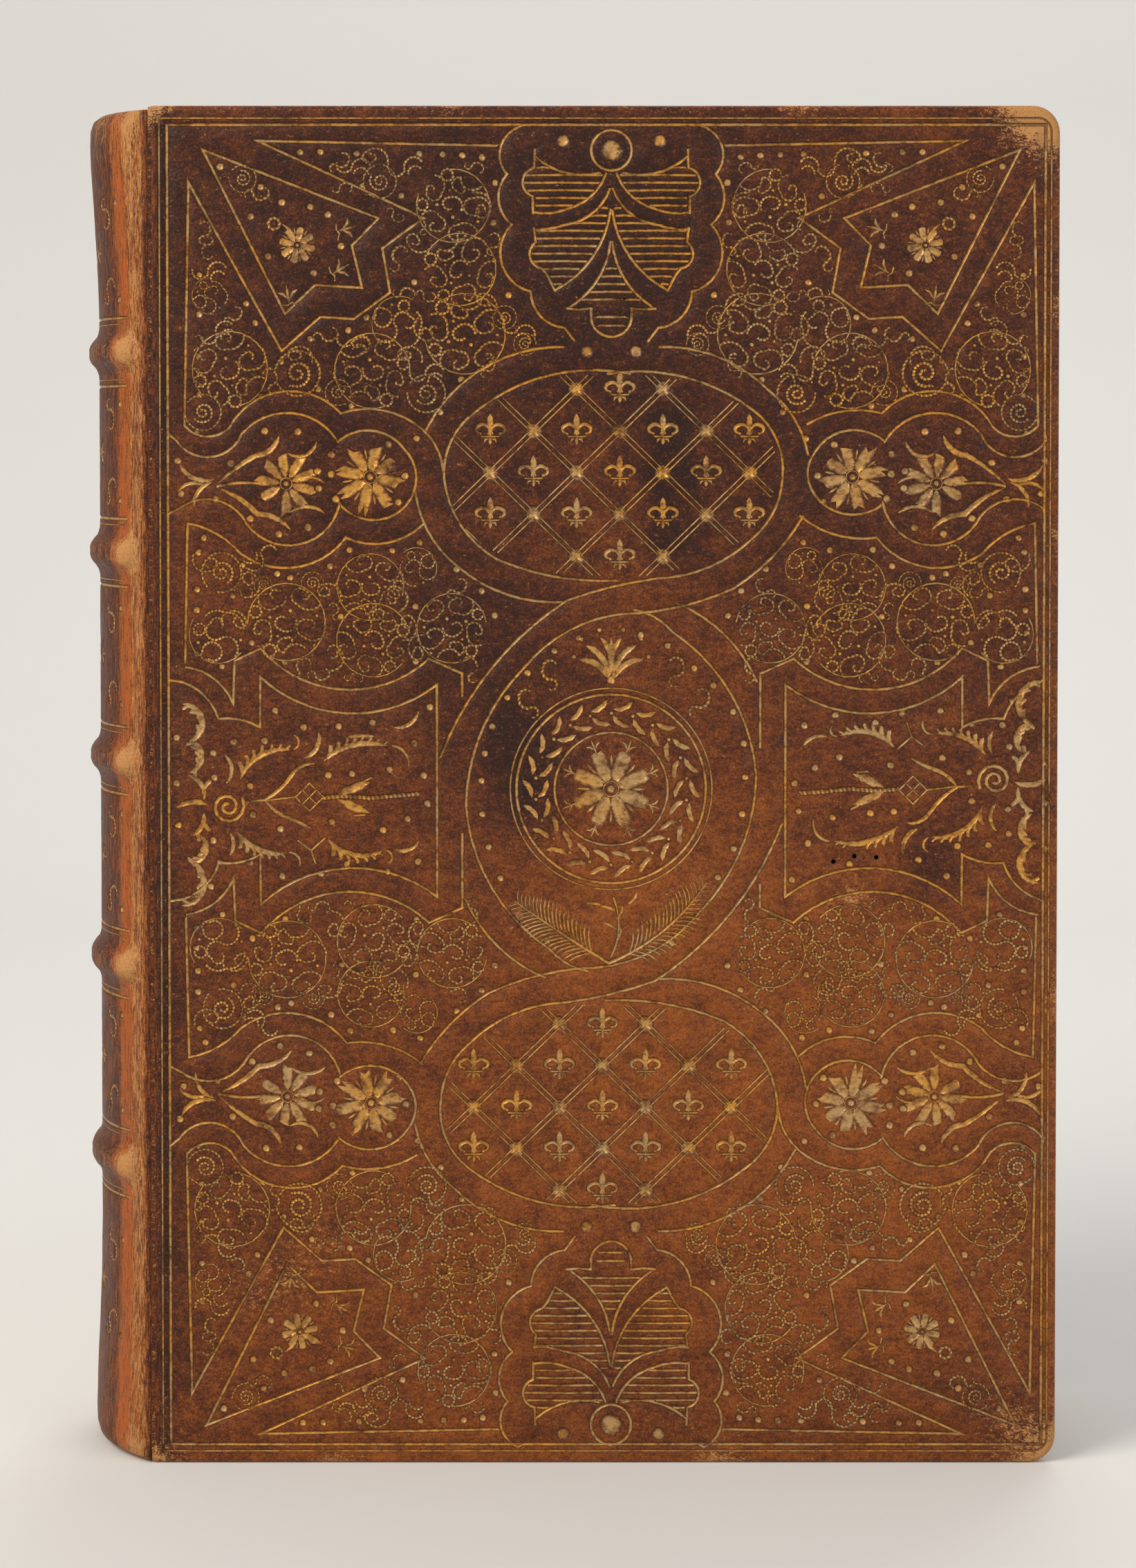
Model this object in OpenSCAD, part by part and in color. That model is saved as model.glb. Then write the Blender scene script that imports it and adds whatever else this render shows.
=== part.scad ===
// Antique folio book: a sewn text block in a tight-back leather binding with five raised bands,
// laced-on pasteboard covers and strapwork tooled into both covers.
// The book stands on its tail edge. X runs from the spine to the fore-edge, Y through the thickness
// with the front cover at -Y, and Z is up. The origin is under the middle of the book.

/* [Covers] */
// Height of a cover with its leather
cover_h = 351; // [345:1:357]
// Width of a cover from its spine edge to its fore-edge, with the leather
cover_w = 232.9; // [229:0.1:237]
// Thickness of the whole book over both covers
book_t = 64; // [62:1:68]
// Thickness of the pasteboard
board_t = 4.2; // [3.8:0.1:4.6]
// Thickness of the covering leather
leather_t = 0.9; // [0.8:0.05:1]
// Radius of the worn corners at the fore-edge
corner_r = 7; // [5:0.5:9]
// Rounding of the covers' edges
edge_r = 1.6; // [1.2:0.1:1.8]
// Width of the leather turned over onto the inside of a cover
turn_in_w = 18; // [14:1:24]

/* [Text block] */
// How far the covers stand out past the leaves
square_w = 4.5; // [3.5:0.25:5.5]
// Bulge of the rounded spine, from the joints to its middle
spine_bulge = 15; // [13:0.5:17]
// Thickness of one endpaper
paper_t = 0.3; // [0.2:0.05:0.4]

/* [Spine] */
// How far a raised band stands out from the spine
band_rise = 2.8; // [2.6:0.1:3.2]
// Heights of the five bands above the tail
band_z = [77, 129, 182, 236, 288];
// How far the leather flares out at the head cap
head_flare = 2.2; // [1.8:0.1:2.4]
// How far the leather flares out at the tail cap
tail_flare = 1.6; // [1.2:0.1:2]

/* [Tooling] */
// Width of a tooled line
line_w = 1; // [0.8:0.1:1.2]
// Depth of a tooled line
line_d = 0.4; // [0.3:0.05:0.45]

/* [Hidden] */
$fn = 96;
front_col = "saddlebrown";
board_col = "tan";
paper_col = "wheat";
leaves_col = "khaki";
cord_col = "burlywood";
silk_col = "indianred";

half_t = book_t / 2;
// gap between parts that lie on each other, and between parts on different sides of a joint
fit_gap = 0.02;
move_gap = 0.3;
pare_t = 0.6;                                    // leather pared thin at the turn-ins
board_in = half_t - leather_t - board_t;         // inside face of a cover
block_half = board_in - paper_t - move_gap - paper_t;
board_u = 3;                                     // spine edge of the pasteboard
cover_u = board_u + cover_w;                     // fore-edge of a cover
flap_u = 1.8;                                    // where the cover's leather starts in the joint
lip_u = 1.2;                                     // where the spine's leather ends in the joint

// the spine is an arc through both joints, and everything on it shares its centre
joint_half = half_t - 0.5;
spine_r = (joint_half * joint_half + spine_bulge * spine_bulge) / (2 * spine_bulge);
spine_cu = spine_r - spine_bulge;
spine_half_a = asin(joint_half / spine_r);
spine_leather_t = 1;
lining_t = 0.4;
block_r = spine_r - spine_leather_t - lining_t;
band_end_a = 42;                                 // half angle that a band spans
cord_r = 1.6;
cord_pitch = 1.7;                                // each band has two cords, this far from its middle

block_z0 = square_w;
block_z1 = cover_h - square_w;
block_u1 = cover_u - square_w;
shoulder_u = 2.5;                                // where the leaves turn over towards the joints

// the book's box runs from the bands to the fore-edge, and its middle is at the origin
box_u0 = -spine_bulge - band_rise;
shift_u = (box_u0 + cover_u) / 2;

// places the whole book with its middle at the origin
module book_frame() translate([-shift_u, 0, 0]) children();

// the front cover is the back cover's mirror image
module front_side() book_frame() mirror([0, 1, 0]) children();
module back_side() book_frame() children();

// revolves a section of radius and height round the spine's centre, over half_a to each side
module round_spine(half_a)
    translate([spine_cu, 0, 0]) rotate([0, 0, 180 - half_a]) rotate_extrude(angle = 2 * half_a) children();

// Text block: leaves sewn in sections, backed into shoulders at the spine and hollow at the fore-edge
module block_outline() {
    fore_cu = block_u1 + sqrt(block_r * block_r - block_half * block_half);
    shoulder_tip = [0.6, joint_half - 1.3];
    difference() {
        union() {
            intersection() {
                translate([spine_cu, 0]) circle(block_r);
                polygon([[-20, -31], [shoulder_tip.x, -shoulder_tip.y], [shoulder_u, -block_half],
                    [shoulder_u, block_half], [shoulder_tip.x, shoulder_tip.y], [-20, 31]]);
            }
            translate([shoulder_u - 0.1, -block_half]) square([block_u1 - shoulder_u + 0.1, 2 * block_half]);
        }
        translate([fore_cu, 0]) circle(block_r);
    }
}

module text_block()
    color(leaves_col) book_frame() translate([0, 0, block_z0])
        linear_extrude(block_z1 - block_z0) block_outline();

module flyleaf()
    color(paper_col) translate([shoulder_u + 0.1, block_half, block_z0])
        cube([block_u1 - shoulder_u - 0.1, paper_t, block_z1 - block_z0]);

module front_flyleaf() front_side() flyleaf();
module back_flyleaf() back_side() flyleaf();

// Linings: strips of parchment glued across the spine between the bands
lining_bounds = concat([block_z0], band_z, [block_z1]);
lining_clear = 5;
turned_in = 20;                                  // depth of the spine leather turned in at head and tail
module spine_lining(i) {
    z0 = i == 0 ? turned_in + 2.5 : lining_bounds[i] + lining_clear;
    z1 = i == len(band_z) ? cover_h - turned_in - 2.5 : lining_bounds[i + 1] - lining_clear;
    color(paper_col) book_frame() round_spine(spine_half_a - 3)
        translate([block_r + fit_gap, z0]) square([lining_t - 2 * fit_gap, z1 - z0]);
}

// Sewing cords: two hemp cords side by side in each band, which the sections are sewn round
module sewing_cord(i)
    color(cord_col) book_frame() round_spine(band_end_a)
        for (side = [-1, 1])
            translate([block_r + cord_r + fit_gap, band_z[i] + side * cord_pitch]) circle(cord_r);

// Endbands: a cord wound with silk, sewn along the spine edge of the leaves at head and tail
endband_r = 1.1;
silk_r = 1.35;
endband_at = block_r - 1.5;
endband_turns = 36;
endband_half_a = 46;
module endband(z) {
    step_a = 2 * endband_half_a / endband_turns;
    turn_w = 2 * PI * endband_at * step_a / 360 * 0.62;
    color(silk_col) book_frame() {
        round_spine(endband_half_a) translate([endband_at, z]) circle(endband_r, $fn = 12);
        for (k = [0 : endband_turns - 1])
            translate([spine_cu, 0, z]) rotate([0, 0, 180 - endband_half_a + (k + 0.5) * step_a])
                translate([endband_at, 0, 0]) rotate([90, 0, 0])
                    cylinder(r = silk_r, h = turn_w, center = true, $fn = 12);
    }
}
module head_endband() endband(block_z1 + silk_r + fit_gap);
module tail_endband() endband(block_z0 - silk_r - fit_gap);

spine_line_at = 8.8;                             // how far a pressed line is from its band's middle

// Spine leather: one skin over linings and cords, flared and turned in over the endbands as caps
module spine_wall_section() {
    // a line is pressed across the spine on either side of each band
    lines = [for (z = band_z, at = [z - spine_line_at, z + spine_line_at]) each [
        [spine_r, at - line_w / 2], [spine_r - 0.3, at], [spine_r, at + line_w / 2]
    ]];
    r0 = spine_r;
    rh = spine_r + head_flare;
    rt = spine_r + tail_flare;
    t = spine_leather_t;
    top = cover_h;
    fold = t + lining_t - 0.05;
    tail_edge = [
        [r0 - 4.2, 0.9], [r0 - 2.4, 0.6], [rt - 2.4, 0.8], [rt - 0.9, 2.0], [rt - 0.15, 4.5], [rt, 8.5],
        [rt - 0.2, 16], [r0 + tail_flare * 0.5, 30], [r0 + tail_flare * 0.12, 46], [r0, 60]
    ];
    head_edge = [
        [r0, top - 52], [r0 + head_flare * 0.12, top - 44], [r0 + head_flare * 0.5, top - 28],
        [rh - 0.2, top - 14], [rh, top - 8], [rh - 0.2, top - 4.5], [rh - 1.0, top - 2.3],
        [rh - 2.6, top - 1.1], [r0 - 2.0, top - 0.9], [r0 - 4.2, top - 1.2]
    ];
    inside_head = [
        [r0 - 4.1, top - 1.5], [r0 - 1.6, top - 1.6], [r0 - 1.1, top - 2.2], [r0 - 1.1, top - 5],
        [r0 - fold, top - 6], [r0 - fold, top - turned_in], [r0 - t, top - turned_in - 2]
    ];
    // the skin steps up over each lining, and lies on the leaves beside the cords
    step = lining_clear - 0.15;
    inside = [for (i = [len(band_z) - 1 : -1 : 0]) each [
        [r0 - t, band_z[i] + step], [r0 - fold, band_z[i] + step],
        [r0 - fold, band_z[i] - step], [r0 - t, band_z[i] - step]
    ]];
    inside_tail = [
        [r0 - t, turned_in + 2], [r0 - fold, turned_in], [r0 - fold, 6],
        [r0 - 1.1, 5], [r0 - 1.1, 2.1], [r0 - 1.6, 1.5], [r0 - 4.1, 1.4]
    ];
    polygon(concat(tail_edge, lines, head_edge, inside_head, inside, inside_tail));
}

band_half_w = 4.4;                               // half width of a band, without its fairings
fair_w = 1.5;                                    // leather faired down on either side of a band
fair_h = 0.7;
knob_r = 5.2;
knob_rise = band_rise + 0.3;
root_d = 0.5;                                    // how deep a band is rooted in the spine's skin
ridge_r = (band_half_w * band_half_w + band_rise * band_rise) / (2 * band_rise);

module band_section() {
    low = spine_r - root_d;
    half = [[spine_r + fair_h, band_half_w - 0.4], [spine_r + 0.4 * fair_h, band_half_w + fair_w / 3],
        [spine_r + 0.05, band_half_w + fair_w], [low + 0.05, band_half_w + fair_w]];
    intersection() {
        translate([spine_r + band_rise - ridge_r, 0]) circle(ridge_r);
        translate([low, -2 * band_half_w]) square([2 * band_half_w, 4 * band_half_w]);
    }
    polygon(concat(half, [for (k = [3 : -1 : 0]) [half[k].x, -half[k].y]]));
}

module hollow_section() {
    w = 2 * cord_pitch;
    r1 = block_r + 2 * cord_r + 0.15;
    polygon([[block_r, -w], [r1 - 1, -w], [r1, 1.2 - w], [r1, w - 1.2], [r1 - 1, w], [block_r, w]]);
}

// the rounded end of a band, where its cords go through to the cover
module band_knob() rotate([0, 0, 180]) sphere(r = knob_r);

module spine_bands() for (z = band_z) translate([0, 0, z]) round_spine(band_end_a) band_section();
module spine_knobs() difference() {
    for (z = band_z, side = [-1, 1]) translate([spine_cu, 0, z]) rotate([0, 0, 180 + side * band_end_a])
        translate([spine_r + knob_rise - knob_r, 0, 0]) band_knob();
    translate([spine_cu, 0, 20]) cylinder(r = spine_r - root_d, h = cover_h - 40);
}
module spine_hollows() for (z = band_z)
    translate([0, 0, z]) round_spine(band_end_a + 0.5) hollow_section();

// the skin's edge in the joint, pressed down between the spine and the cover
module joint_lips() for (side = [0, 1]) mirror([0, side, 0])
    translate([0, 0, 2.4]) linear_extrude(cover_h - 4.8)
        polygon([[-0.15, joint_half - 0.2], [0.2, joint_half - 0.9], [lip_u, joint_half - 0.9],
            [lip_u, joint_half - 0.2]]);

// the spine's skin, with its flared ends trimmed off at the joints
module spine_wall() intersection() {
    round_spine(spine_half_a) spine_wall_section();
    translate([-30, -joint_half - 0.1, -1]) cube([60, 2 * joint_half + 0.2, cover_h + 2]);
}

module spine_leather() color(front_col) book_frame() difference() {
    union() {
        spine_wall();
        spine_bands();
        spine_knobs();
        joint_lips();
    }
    spine_hollows();
}

// Strapwork: the edges of interlaced straps, pressed into the leather as lines.
// A path lists stations. A plain point is reached in a straight line, and a pair of points is an arc
// through the first to the second. Points are from the design's middle, which lies a little off the
// frame's. The straps pass over and under each other, so half of the design is turned for the rest.
frame_half = [112.7, 170.5];
frame_at = [0.5, 0];                             // the frame's middle, from the cover's
design_off = [1.3, -0.7];                        // the design's middle, from the frame's

top_cusp = [70.3, 90];
top_cusp_out = [69.5, 97.3];
foot_cusp = [69.9, 74];
foot_cusp_out = [68.3, 65.3];

// in each corner
star = [[104.8, 164.8], [59.8, 147.3], [66.6, 140.3], [64, 129.5], [76.1, 130.2], [83.8, 122.8],
    [104.8, 164.8]];
corner_field = [[29.5, 165.9], [90.8, 167.1], [48.2, 147.4], [58.8, 139.6], [56.8, 128.3], [66.2, 121.5],
    [74.8, 122], [84.7, 113.3], [108.5, 156.4], [109.7, 94.1], [[103.9, 91.3], [98.2, 93.6]],
    [[82.9, 103], top_cusp_out]];
scallops = [[22.6, 171], [[28.5, 165.2], [26.8, 158.6]], [[29, 152.5], [25.6, 145.7]],
    [[28.4, 136.8], [20.7, 128.5]], [[18, 122], [12, 119.2]], [9.3, 115.6]];
tulip_top = [[112.7, 92], [[104.2, 86], [95, 92]], [[83.2, 97.4], top_cusp]];
tulip_foot = [[112.7, 71.4], [[104.8, 75.2], [94.9, 70.7]], [[84.6, 63.4], foot_cusp]];
low_field = [[109.7, 33.7], [109, 69], [[101.5, 66.3], [95.5, 61.3]], [[81.8, 57.6], foot_cusp_out]];
side_out = [[109.7, 32], [[103.2, 29.6], [97.4, 22.6]], [97, 33.6], [90.3, 36.8], [[68, 26.1], [47, 34.1]],
    [38.4, 30.3]];
side_in = [[112.7, 28.6], [[105.9, 25.6], [101.2, 18.6]], [[95.6, 18.4], [90.5, 16.4]], [90.4, 29.4],
    [[67.5, 20], [44.9, 27.4]]];

// right of the upper oval, with the oval's strap on top
oval_over = [[12.2, 114.3], [[28.6, 111.3], [40.4, 103.2]], [[47.8, 94.6], [50.6, 86.6]]];
roundel_a = [top_cusp, [[62, 93], [52.5, 87.6]], [[50.5, 82.5], [51.4, 77.9]], [[58.4, 71.8], foot_cusp]];
roundel_a_top = [[50.2, 94.4], [[59.2, 97.8], top_cusp_out]];
roundel_a_foot = [[48.4, 71], [[57.8, 66], foot_cusp_out]];

// the inner edge of the upper oval and the strap that it turns into, down to the side panel
oval_in_right = [[-1, 107.4], [[23.4, 105.2], [36.6, 98]], [[43, 89.3], [44, 80.6]],
    [[42, 72.4], [36.6, 65.4]], [[25.8, 58], [11.8, 54.8]], [[0.4, 52.7], [-11.3, 49.2]],
    [[-31.8, 30.4], [-43.9, 8.9]]];
strap_low = [[49.4, 70.9], [[42, 60.9], [31.4, 52.2]], [[21.4, 48.5], [7.4, 45.9]],
    [[-8.2, 42.7], [-22.6, 31.6]], [[-33.8, 14.4], [-37.4, -4.2]], [[-31.2, -24.4], [-15.8, -41]],
    [[-11.2, -44.8], [-6, -46.7]]];
strap_under = [[-37.5, -28.2], [[-29.7, -39.8], [-17.2, -48.3]]];

// left of the upper oval, with the roundel's strap on top
oval_under = [[12.2, 114.3], [[32, 109.4], [47.3, 93.6]]];
oval_in_left = [[5, 107.4], [[-20.8, 105.6], [-34.5, 98]], [[-41.6, 89.2], [-43, 80.6]],
    [[-39.6, 70], [-29.3, 59.7]], [[-14.8, 55.3], [1.2, 54.3]]];
roundel_b = [top_cusp, [[62.3, 92.9], [53.3, 88.2]], [[50.2, 79.6], [54.3, 72.2]], [[62.3, 69.9], foot_cusp]];
roundel_b_top = [top_cusp_out, [[59.6, 98.2], [50.6, 94.7]], [[45.2, 89], [43.2, 82.4]]];
roundel_b_foot = [[48.6, 68.6], [[58, 63.9], foot_cusp_out]];
oval_low = [[50.4, 77], [[47.8, 68.2], [39.3, 57.7]], [[29.3, 51.6], [12.5, 48.7]]];

function circle_centre(a, m, b) =
    let (d = 2 * (a.x * (m.y - b.y) + m.x * (b.y - a.y) + b.x * (a.y - m.y)),
        a2 = a * a, m2 = m * m, b2 = b * b)
    [(a2 * (m.y - b.y) + m2 * (b.y - a.y) + b2 * (a.y - m.y)) / d,
        (a2 * (b.x - m.x) + m2 * (a.x - b.x) + b2 * (m.x - a.x)) / d];
function turn(a) = a - 360 * floor(a / 360);

// an arc's points after its first, close enough together that the line looks round
line_sag = 0.14;
function arc_points(a, m, b) =
    let (c = circle_centre(a, m, b), r = norm(a - c), from = atan2(a.y - c.y, a.x - c.x),
        to_m = turn(atan2(m.y - c.y, m.x - c.x) - from), to_b = turn(atan2(b.y - c.y, b.x - c.x) - from),
        sweep = to_m < to_b ? to_b : to_b - 360, steps = ceil(abs(sweep) / (2 * acos(1 - line_sag / r))))
    [for (k = [1 : steps]) c + r * [cos(from + sweep * k / steps), sin(from + sweep * k / steps)]];

function is_arc(s) = is_list(s.x);
function stations(path, n) = n == 0 ? [path[0]] :
    let (s = path[n], before = is_arc(path[n - 1]) ? path[n - 1].y : path[n - 1])
    concat(stations(path, n - 1), is_arc(s) ? arc_points(before, s.x, s.y) : [s]);
function points_of(path) = stations(path, len(path) - 1);
function reversed(v) = [for (k = [len(v) - 1 : -1 : 0]) v[k]];

// one side of a line along points, with mitred corners
function unit(v) = v / norm(v);
function left_of(v) = [-v.y, v.x];
function line_side(pts, side) = [for (k = [0 : len(pts) - 1])
    let (into = unit(pts[max(k, 1)] - pts[max(k, 1) - 1]),
        out = unit(pts[min(k, len(pts) - 2) + 1] - pts[min(k, len(pts) - 2)]),
        n = unit(left_of(into) + left_of(out)))
    pts[k] + side * n * min(line_w / 2 / (n * left_of(into)), 2 * line_w)];

module pressed_line(pts)
    linear_extrude(line_d + 0.5) polygon(concat(line_side(pts, 1), reversed(line_side(pts, -1))));

// a closed line, as a plate with its middle taken out
module pressed_loop(pts) {
    n = len(pts);
    ring = concat([pts[n - 2]], pts, [pts[1]]);
    inner = line_side(ring, 1);
    outer = line_side(ring, -1);
    difference() {
        linear_extrude(line_d + 0.5) polygon([for (k = [1 : n - 1]) outer[k]]);
        translate([0, 0, -1]) linear_extrude(line_d + 3) polygon([for (k = [1 : n - 1]) inner[k]]);
    }
}

// a path that starts at 112.7 or 171 starts on the frame, on whichever side it is
function on_frame(pts, c) = concat(
    [pts[0].x == 112.7 ? [frame_half.x - c.x * design_off.x, pts[0].y] :
        pts[0].y == 171 ? [pts[0].x, frame_half.y - c.y * design_off.y] : pts[0]],
    [for (k = [1 : len(pts) - 1]) pts[k]]);
function placed(pts, c) = [for (p = on_frame(pts, c)) [c.x * p.x, c.y * p.y]];

module corner_lines() for (sx = [-1, 1], sy = [-1, 1]) {
    for (path = [corner_field, scallops, tulip_top, tulip_foot, low_field])
        pressed_line(placed(points_of(path), [sx, sy]));
    // the side panel's corner stands on a long or a short upright
    pressed_line(placed(concat(points_of(side_out), [[38.4, sx == sy ? 11 : 24.2]]), [sx, sy]));
}

module star_lines() for (sx = [-1, 1], sy = [-1, 1]) {
    star_points = placed(points_of(star), [sx, sy]);
    pressed_loop(sx == sy ? reversed(star_points) : star_points);
}

module side_panels() for (sx = [-1, 1]) {
    half = points_of(side_in);
    pressed_line(concat(placed(half, [sx, 1]), reversed(placed(half, [sx, -1]))));
}

module interlace() for (turned = [0, 180]) rotate(turned) {
    for (path = [oval_over, roundel_a, roundel_a_top, roundel_a_foot, oval_in_right, oval_in_left,
        strap_low, strap_under]) pressed_line(points_of(path));
    for (path = [oval_under, roundel_b, roundel_b_top, roundel_b_foot, oval_low])
        pressed_line(placed(points_of(path), [-1, 1]));
}

module frame_line() {
    half = frame_half + [line_w, line_w] / 2;
    difference() {
        translate([-half.x, -half.y]) cube([2 * half.x, 2 * half.y, line_d + 0.5]);
        translate([line_w - half.x, line_w - half.y, -1])
            cube([2 * (half.x - line_w), 2 * (half.y - line_w), line_d + 3]);
    }
}

module strapwork() translate(frame_at) {
    frame_line();
    translate(design_off) {
        star_lines();
        corner_lines();
        side_panels();
        interlace();
    }
}

// Slips: the ends of the sewing cords, laced through the board and frayed out flat inside it
slip_w = 6.4;
slip_d = 1.5;
slip_u = 16;
fan_d = 0.5;
module slips(grow) {
    for (z = band_z) translate([0, 0, z]) {
        translate([board_u - grow, half_t - leather_t - slip_d - grow, -slip_w / 2 - grow])
            cube([slip_u - board_u + grow, slip_d + grow, slip_w + 2 * grow]);
        translate([slip_u, half_t - leather_t, 0]) rotate([90, 0, 0])
            cylinder(r = slip_w / 2 + grow, h = board_t);
        translate([slip_u, board_in + fan_d + grow, 0]) rotate([90, 0, 0]) linear_extrude(fan_d + grow)
            polygon([[0, -slip_w / 2 - grow], [22 + grow, -10 - grow], [24 + grow, 0],
                [22 + grow, 10 + grow], [0, slip_w / 2 + grow]]);
    }
}

// Pasteboard: square at the spine edge, rounded at the worn corners, rebated for the turn-ins
module board_plate(grow_in, thick) {
    w = cover_w - leather_t;
    r = corner_r - leather_t;
    z0 = leather_t + grow_in;
    z1 = cover_h - leather_t - grow_in;
    u1 = board_u + w - grow_in;
    rr = max(r - grow_in, 0.5);
    linear_extrude(thick) {
        translate([board_u, z0 + rr]) square([u1 - board_u, z1 - z0 - 2 * rr]);
        translate([board_u, z0]) square([u1 - rr - board_u, z1 - z0]);
        for (z = [z0 + rr, z1 - rr]) translate([u1 - rr, z]) circle(rr);
    }
}

module board_solid() {
    translate([0, half_t - leather_t, 0]) rotate([90, 0, 0]) board_plate(0, board_t - pare_t);
    translate([0, board_in + pare_t, 0]) rotate([90, 0, 0]) board_plate(turn_in_w, pare_t);
}

module cover_board() color(board_col) difference() {
    board_solid();
    slips(fit_gap);
}
module front_board() front_side() cover_board();
module back_board() back_side() cover_board();

module cover_slips() color(cord_col) slips(0);
module front_slips() front_side() cover_slips();
module back_slips() back_side() cover_slips();

// Pastedown: the endpaper's half that is glued to the inside of the cover
pastedown_in = 4;
module cover_pastedown()
    color(paper_col) translate([board_u + 0.6, board_in - paper_t, pastedown_in])
        cube([cover_u - pastedown_in - board_u - 0.6, paper_t, cover_h - 2 * pastedown_in]);
module front_pastedown() front_side() cover_pastedown();
module back_pastedown() back_side() cover_pastedown();

// Cover leather: a skin round three edges of the board, with rounded edges and the tooled face
module rim_section() {
    t = half_t - board_in;
    square([corner_r - edge_r, t]);
    translate([corner_r - edge_r, edge_r]) square([edge_r, t - 2 * edge_r]);
    for (z = [edge_r, t - edge_r]) translate([corner_r - edge_r, z]) circle(edge_r);
}

module cover_envelope() {
    t = half_t - board_in;
    straight_u = cover_u - corner_r;
    straight_z = cover_h - corner_r;
    translate([flap_u, board_in, corner_r]) cube([straight_u - flap_u, t, cover_h - 2 * corner_r]);
    translate([straight_u, board_in, corner_r]) linear_extrude(cover_h - 2 * corner_r) rim_section();
    translate([straight_u, board_in, straight_z]) rotate([0, -90, 0])
        linear_extrude(straight_u - flap_u) rim_section();
    translate([flap_u, board_in, corner_r]) rotate([0, 90, 0])
        linear_extrude(straight_u - flap_u) rim_section();
    for (at_head = [0, 1]) translate([straight_u, board_in, at_head ? straight_z : corner_r])
        rotate([-90, 0, 0]) rotate([0, 0, -90 * at_head]) rotate_extrude(angle = 90) rim_section();
}

module cover_leather() color(front_col) difference() {
    cover_envelope();
    board_solid();
    // the spine edge is open, and only the outer skin reaches into the joint
    translate([flap_u - 1, board_in - 1, -1])
        cube([board_u - flap_u + 1, half_t - leather_t - board_in + 1, cover_h + 2]);
    translate([(flap_u + cover_u) / 2, half_t + 0.5, cover_h / 2]) rotate([90, 0, 0]) strapwork();
}
module front_leather() front_side() cover_leather();
module back_leather() back_side() cover_leather();

text_block();
front_flyleaf();
back_flyleaf();
spine_lining(0);  // spine_lining_1
spine_lining(1);  // spine_lining_2
spine_lining(2);  // spine_lining_3
spine_lining(3);  // spine_lining_4
spine_lining(4);  // spine_lining_5
spine_lining(5);  // spine_lining_6
sewing_cord(0);  // sewing_cord_1
sewing_cord(1);  // sewing_cord_2
sewing_cord(2);  // sewing_cord_3
sewing_cord(3);  // sewing_cord_4
sewing_cord(4);  // sewing_cord_5
head_endband();
tail_endband();
spine_leather();
front_board();
front_leather();
front_pastedown();
front_slips();
back_board();
back_leather();
back_pastedown();
back_slips();
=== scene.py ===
# %% [markdown]
# # An antique folio book in tooled leather
#
# The book stands on its tail with its front cover towards us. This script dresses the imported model:
# it gives every solid a finish, and builds the pieces that need more detail than the solids have,
# such as the tooled covers, the spine and the leaves. Lengths are in metres, with Z up.

# %% The frame
import math
import bmesh
import bpy
import numpy as np
import mathutils.kdtree
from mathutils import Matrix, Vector, geometry, noise


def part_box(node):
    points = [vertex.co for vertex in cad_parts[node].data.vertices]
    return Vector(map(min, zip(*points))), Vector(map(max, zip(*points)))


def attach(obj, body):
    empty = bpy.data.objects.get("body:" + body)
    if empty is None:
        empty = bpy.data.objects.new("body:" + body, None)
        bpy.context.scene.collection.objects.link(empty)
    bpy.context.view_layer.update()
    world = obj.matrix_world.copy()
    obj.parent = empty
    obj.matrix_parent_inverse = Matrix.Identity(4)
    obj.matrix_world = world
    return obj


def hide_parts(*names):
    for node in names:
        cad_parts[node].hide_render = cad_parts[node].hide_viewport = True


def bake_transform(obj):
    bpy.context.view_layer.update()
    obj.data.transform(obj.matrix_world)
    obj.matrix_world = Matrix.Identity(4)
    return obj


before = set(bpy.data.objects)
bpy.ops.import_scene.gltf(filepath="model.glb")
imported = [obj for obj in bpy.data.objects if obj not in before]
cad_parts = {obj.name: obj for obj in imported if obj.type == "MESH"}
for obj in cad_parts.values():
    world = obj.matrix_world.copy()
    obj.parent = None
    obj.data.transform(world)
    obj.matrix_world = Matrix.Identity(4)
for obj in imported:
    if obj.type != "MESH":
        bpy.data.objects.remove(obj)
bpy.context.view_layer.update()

MM = 0.001

# %% [markdown]
# ## Camera, floor and light
#
# The photograph was taken from a little less than a metre away. Its lens was slid down instead of
# being tilted, which keeps the covers' edges upright. A camera in Blender does the same with shift.

# %% Camera
cover_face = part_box("front_leather")[0].y
camera_data = bpy.data.cameras.new("camera")
camera = bpy.data.objects.new("camera", camera_data)
bpy.context.scene.collection.objects.link(camera)
bpy.context.scene.camera = camera
camera_data.lens = 75.9
camera_data.shift_y = -0.16
camera.location = (0.5 * MM, cover_face - 850 * MM, 265 * MM)
camera.rotation_euler = (math.radians(90 - 1.6), 0, 0)

# %% [markdown]
# The floor is a wide pale sheet that curves up behind the book, as a studio's paper sweep does. Large
# area lamps make soft shadows: one from the upper left shows the tooling, and a weaker one fills in.

# %% Floor and lamps
def srgb(code):
    """The linear colour of an sRGB hex code, as four numbers."""
    parts = [int(code[k:k + 2], 16) / 255 for k in (0, 2, 4)]
    return [p / 12.92 if p <= 0.04045 else ((p + 0.055) / 1.055) ** 2.4 for p in parts] + [1.0]


def feed(tree, node, inputs):
    """Gives a node's inputs a value, or joins each to a socket or to the first output of a node."""
    for name, value in inputs.items():
        if isinstance(value, bpy.types.Node):
            value = next(socket for socket in value.outputs if socket.enabled)
        if isinstance(value, bpy.types.NodeSocket):
            tree.links.new(value, node.inputs[name])
        else:
            node.inputs[name].default_value = value


def add(tree, kind, inputs=None, **settings):
    """Adds a shader node of that kind, sets it, and feeds its inputs."""
    node = tree.nodes.new("ShaderNode" + kind)
    for name, value in settings.items():
        setattr(node, name, value)
    feed(tree, node, inputs or {})
    return node


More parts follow.
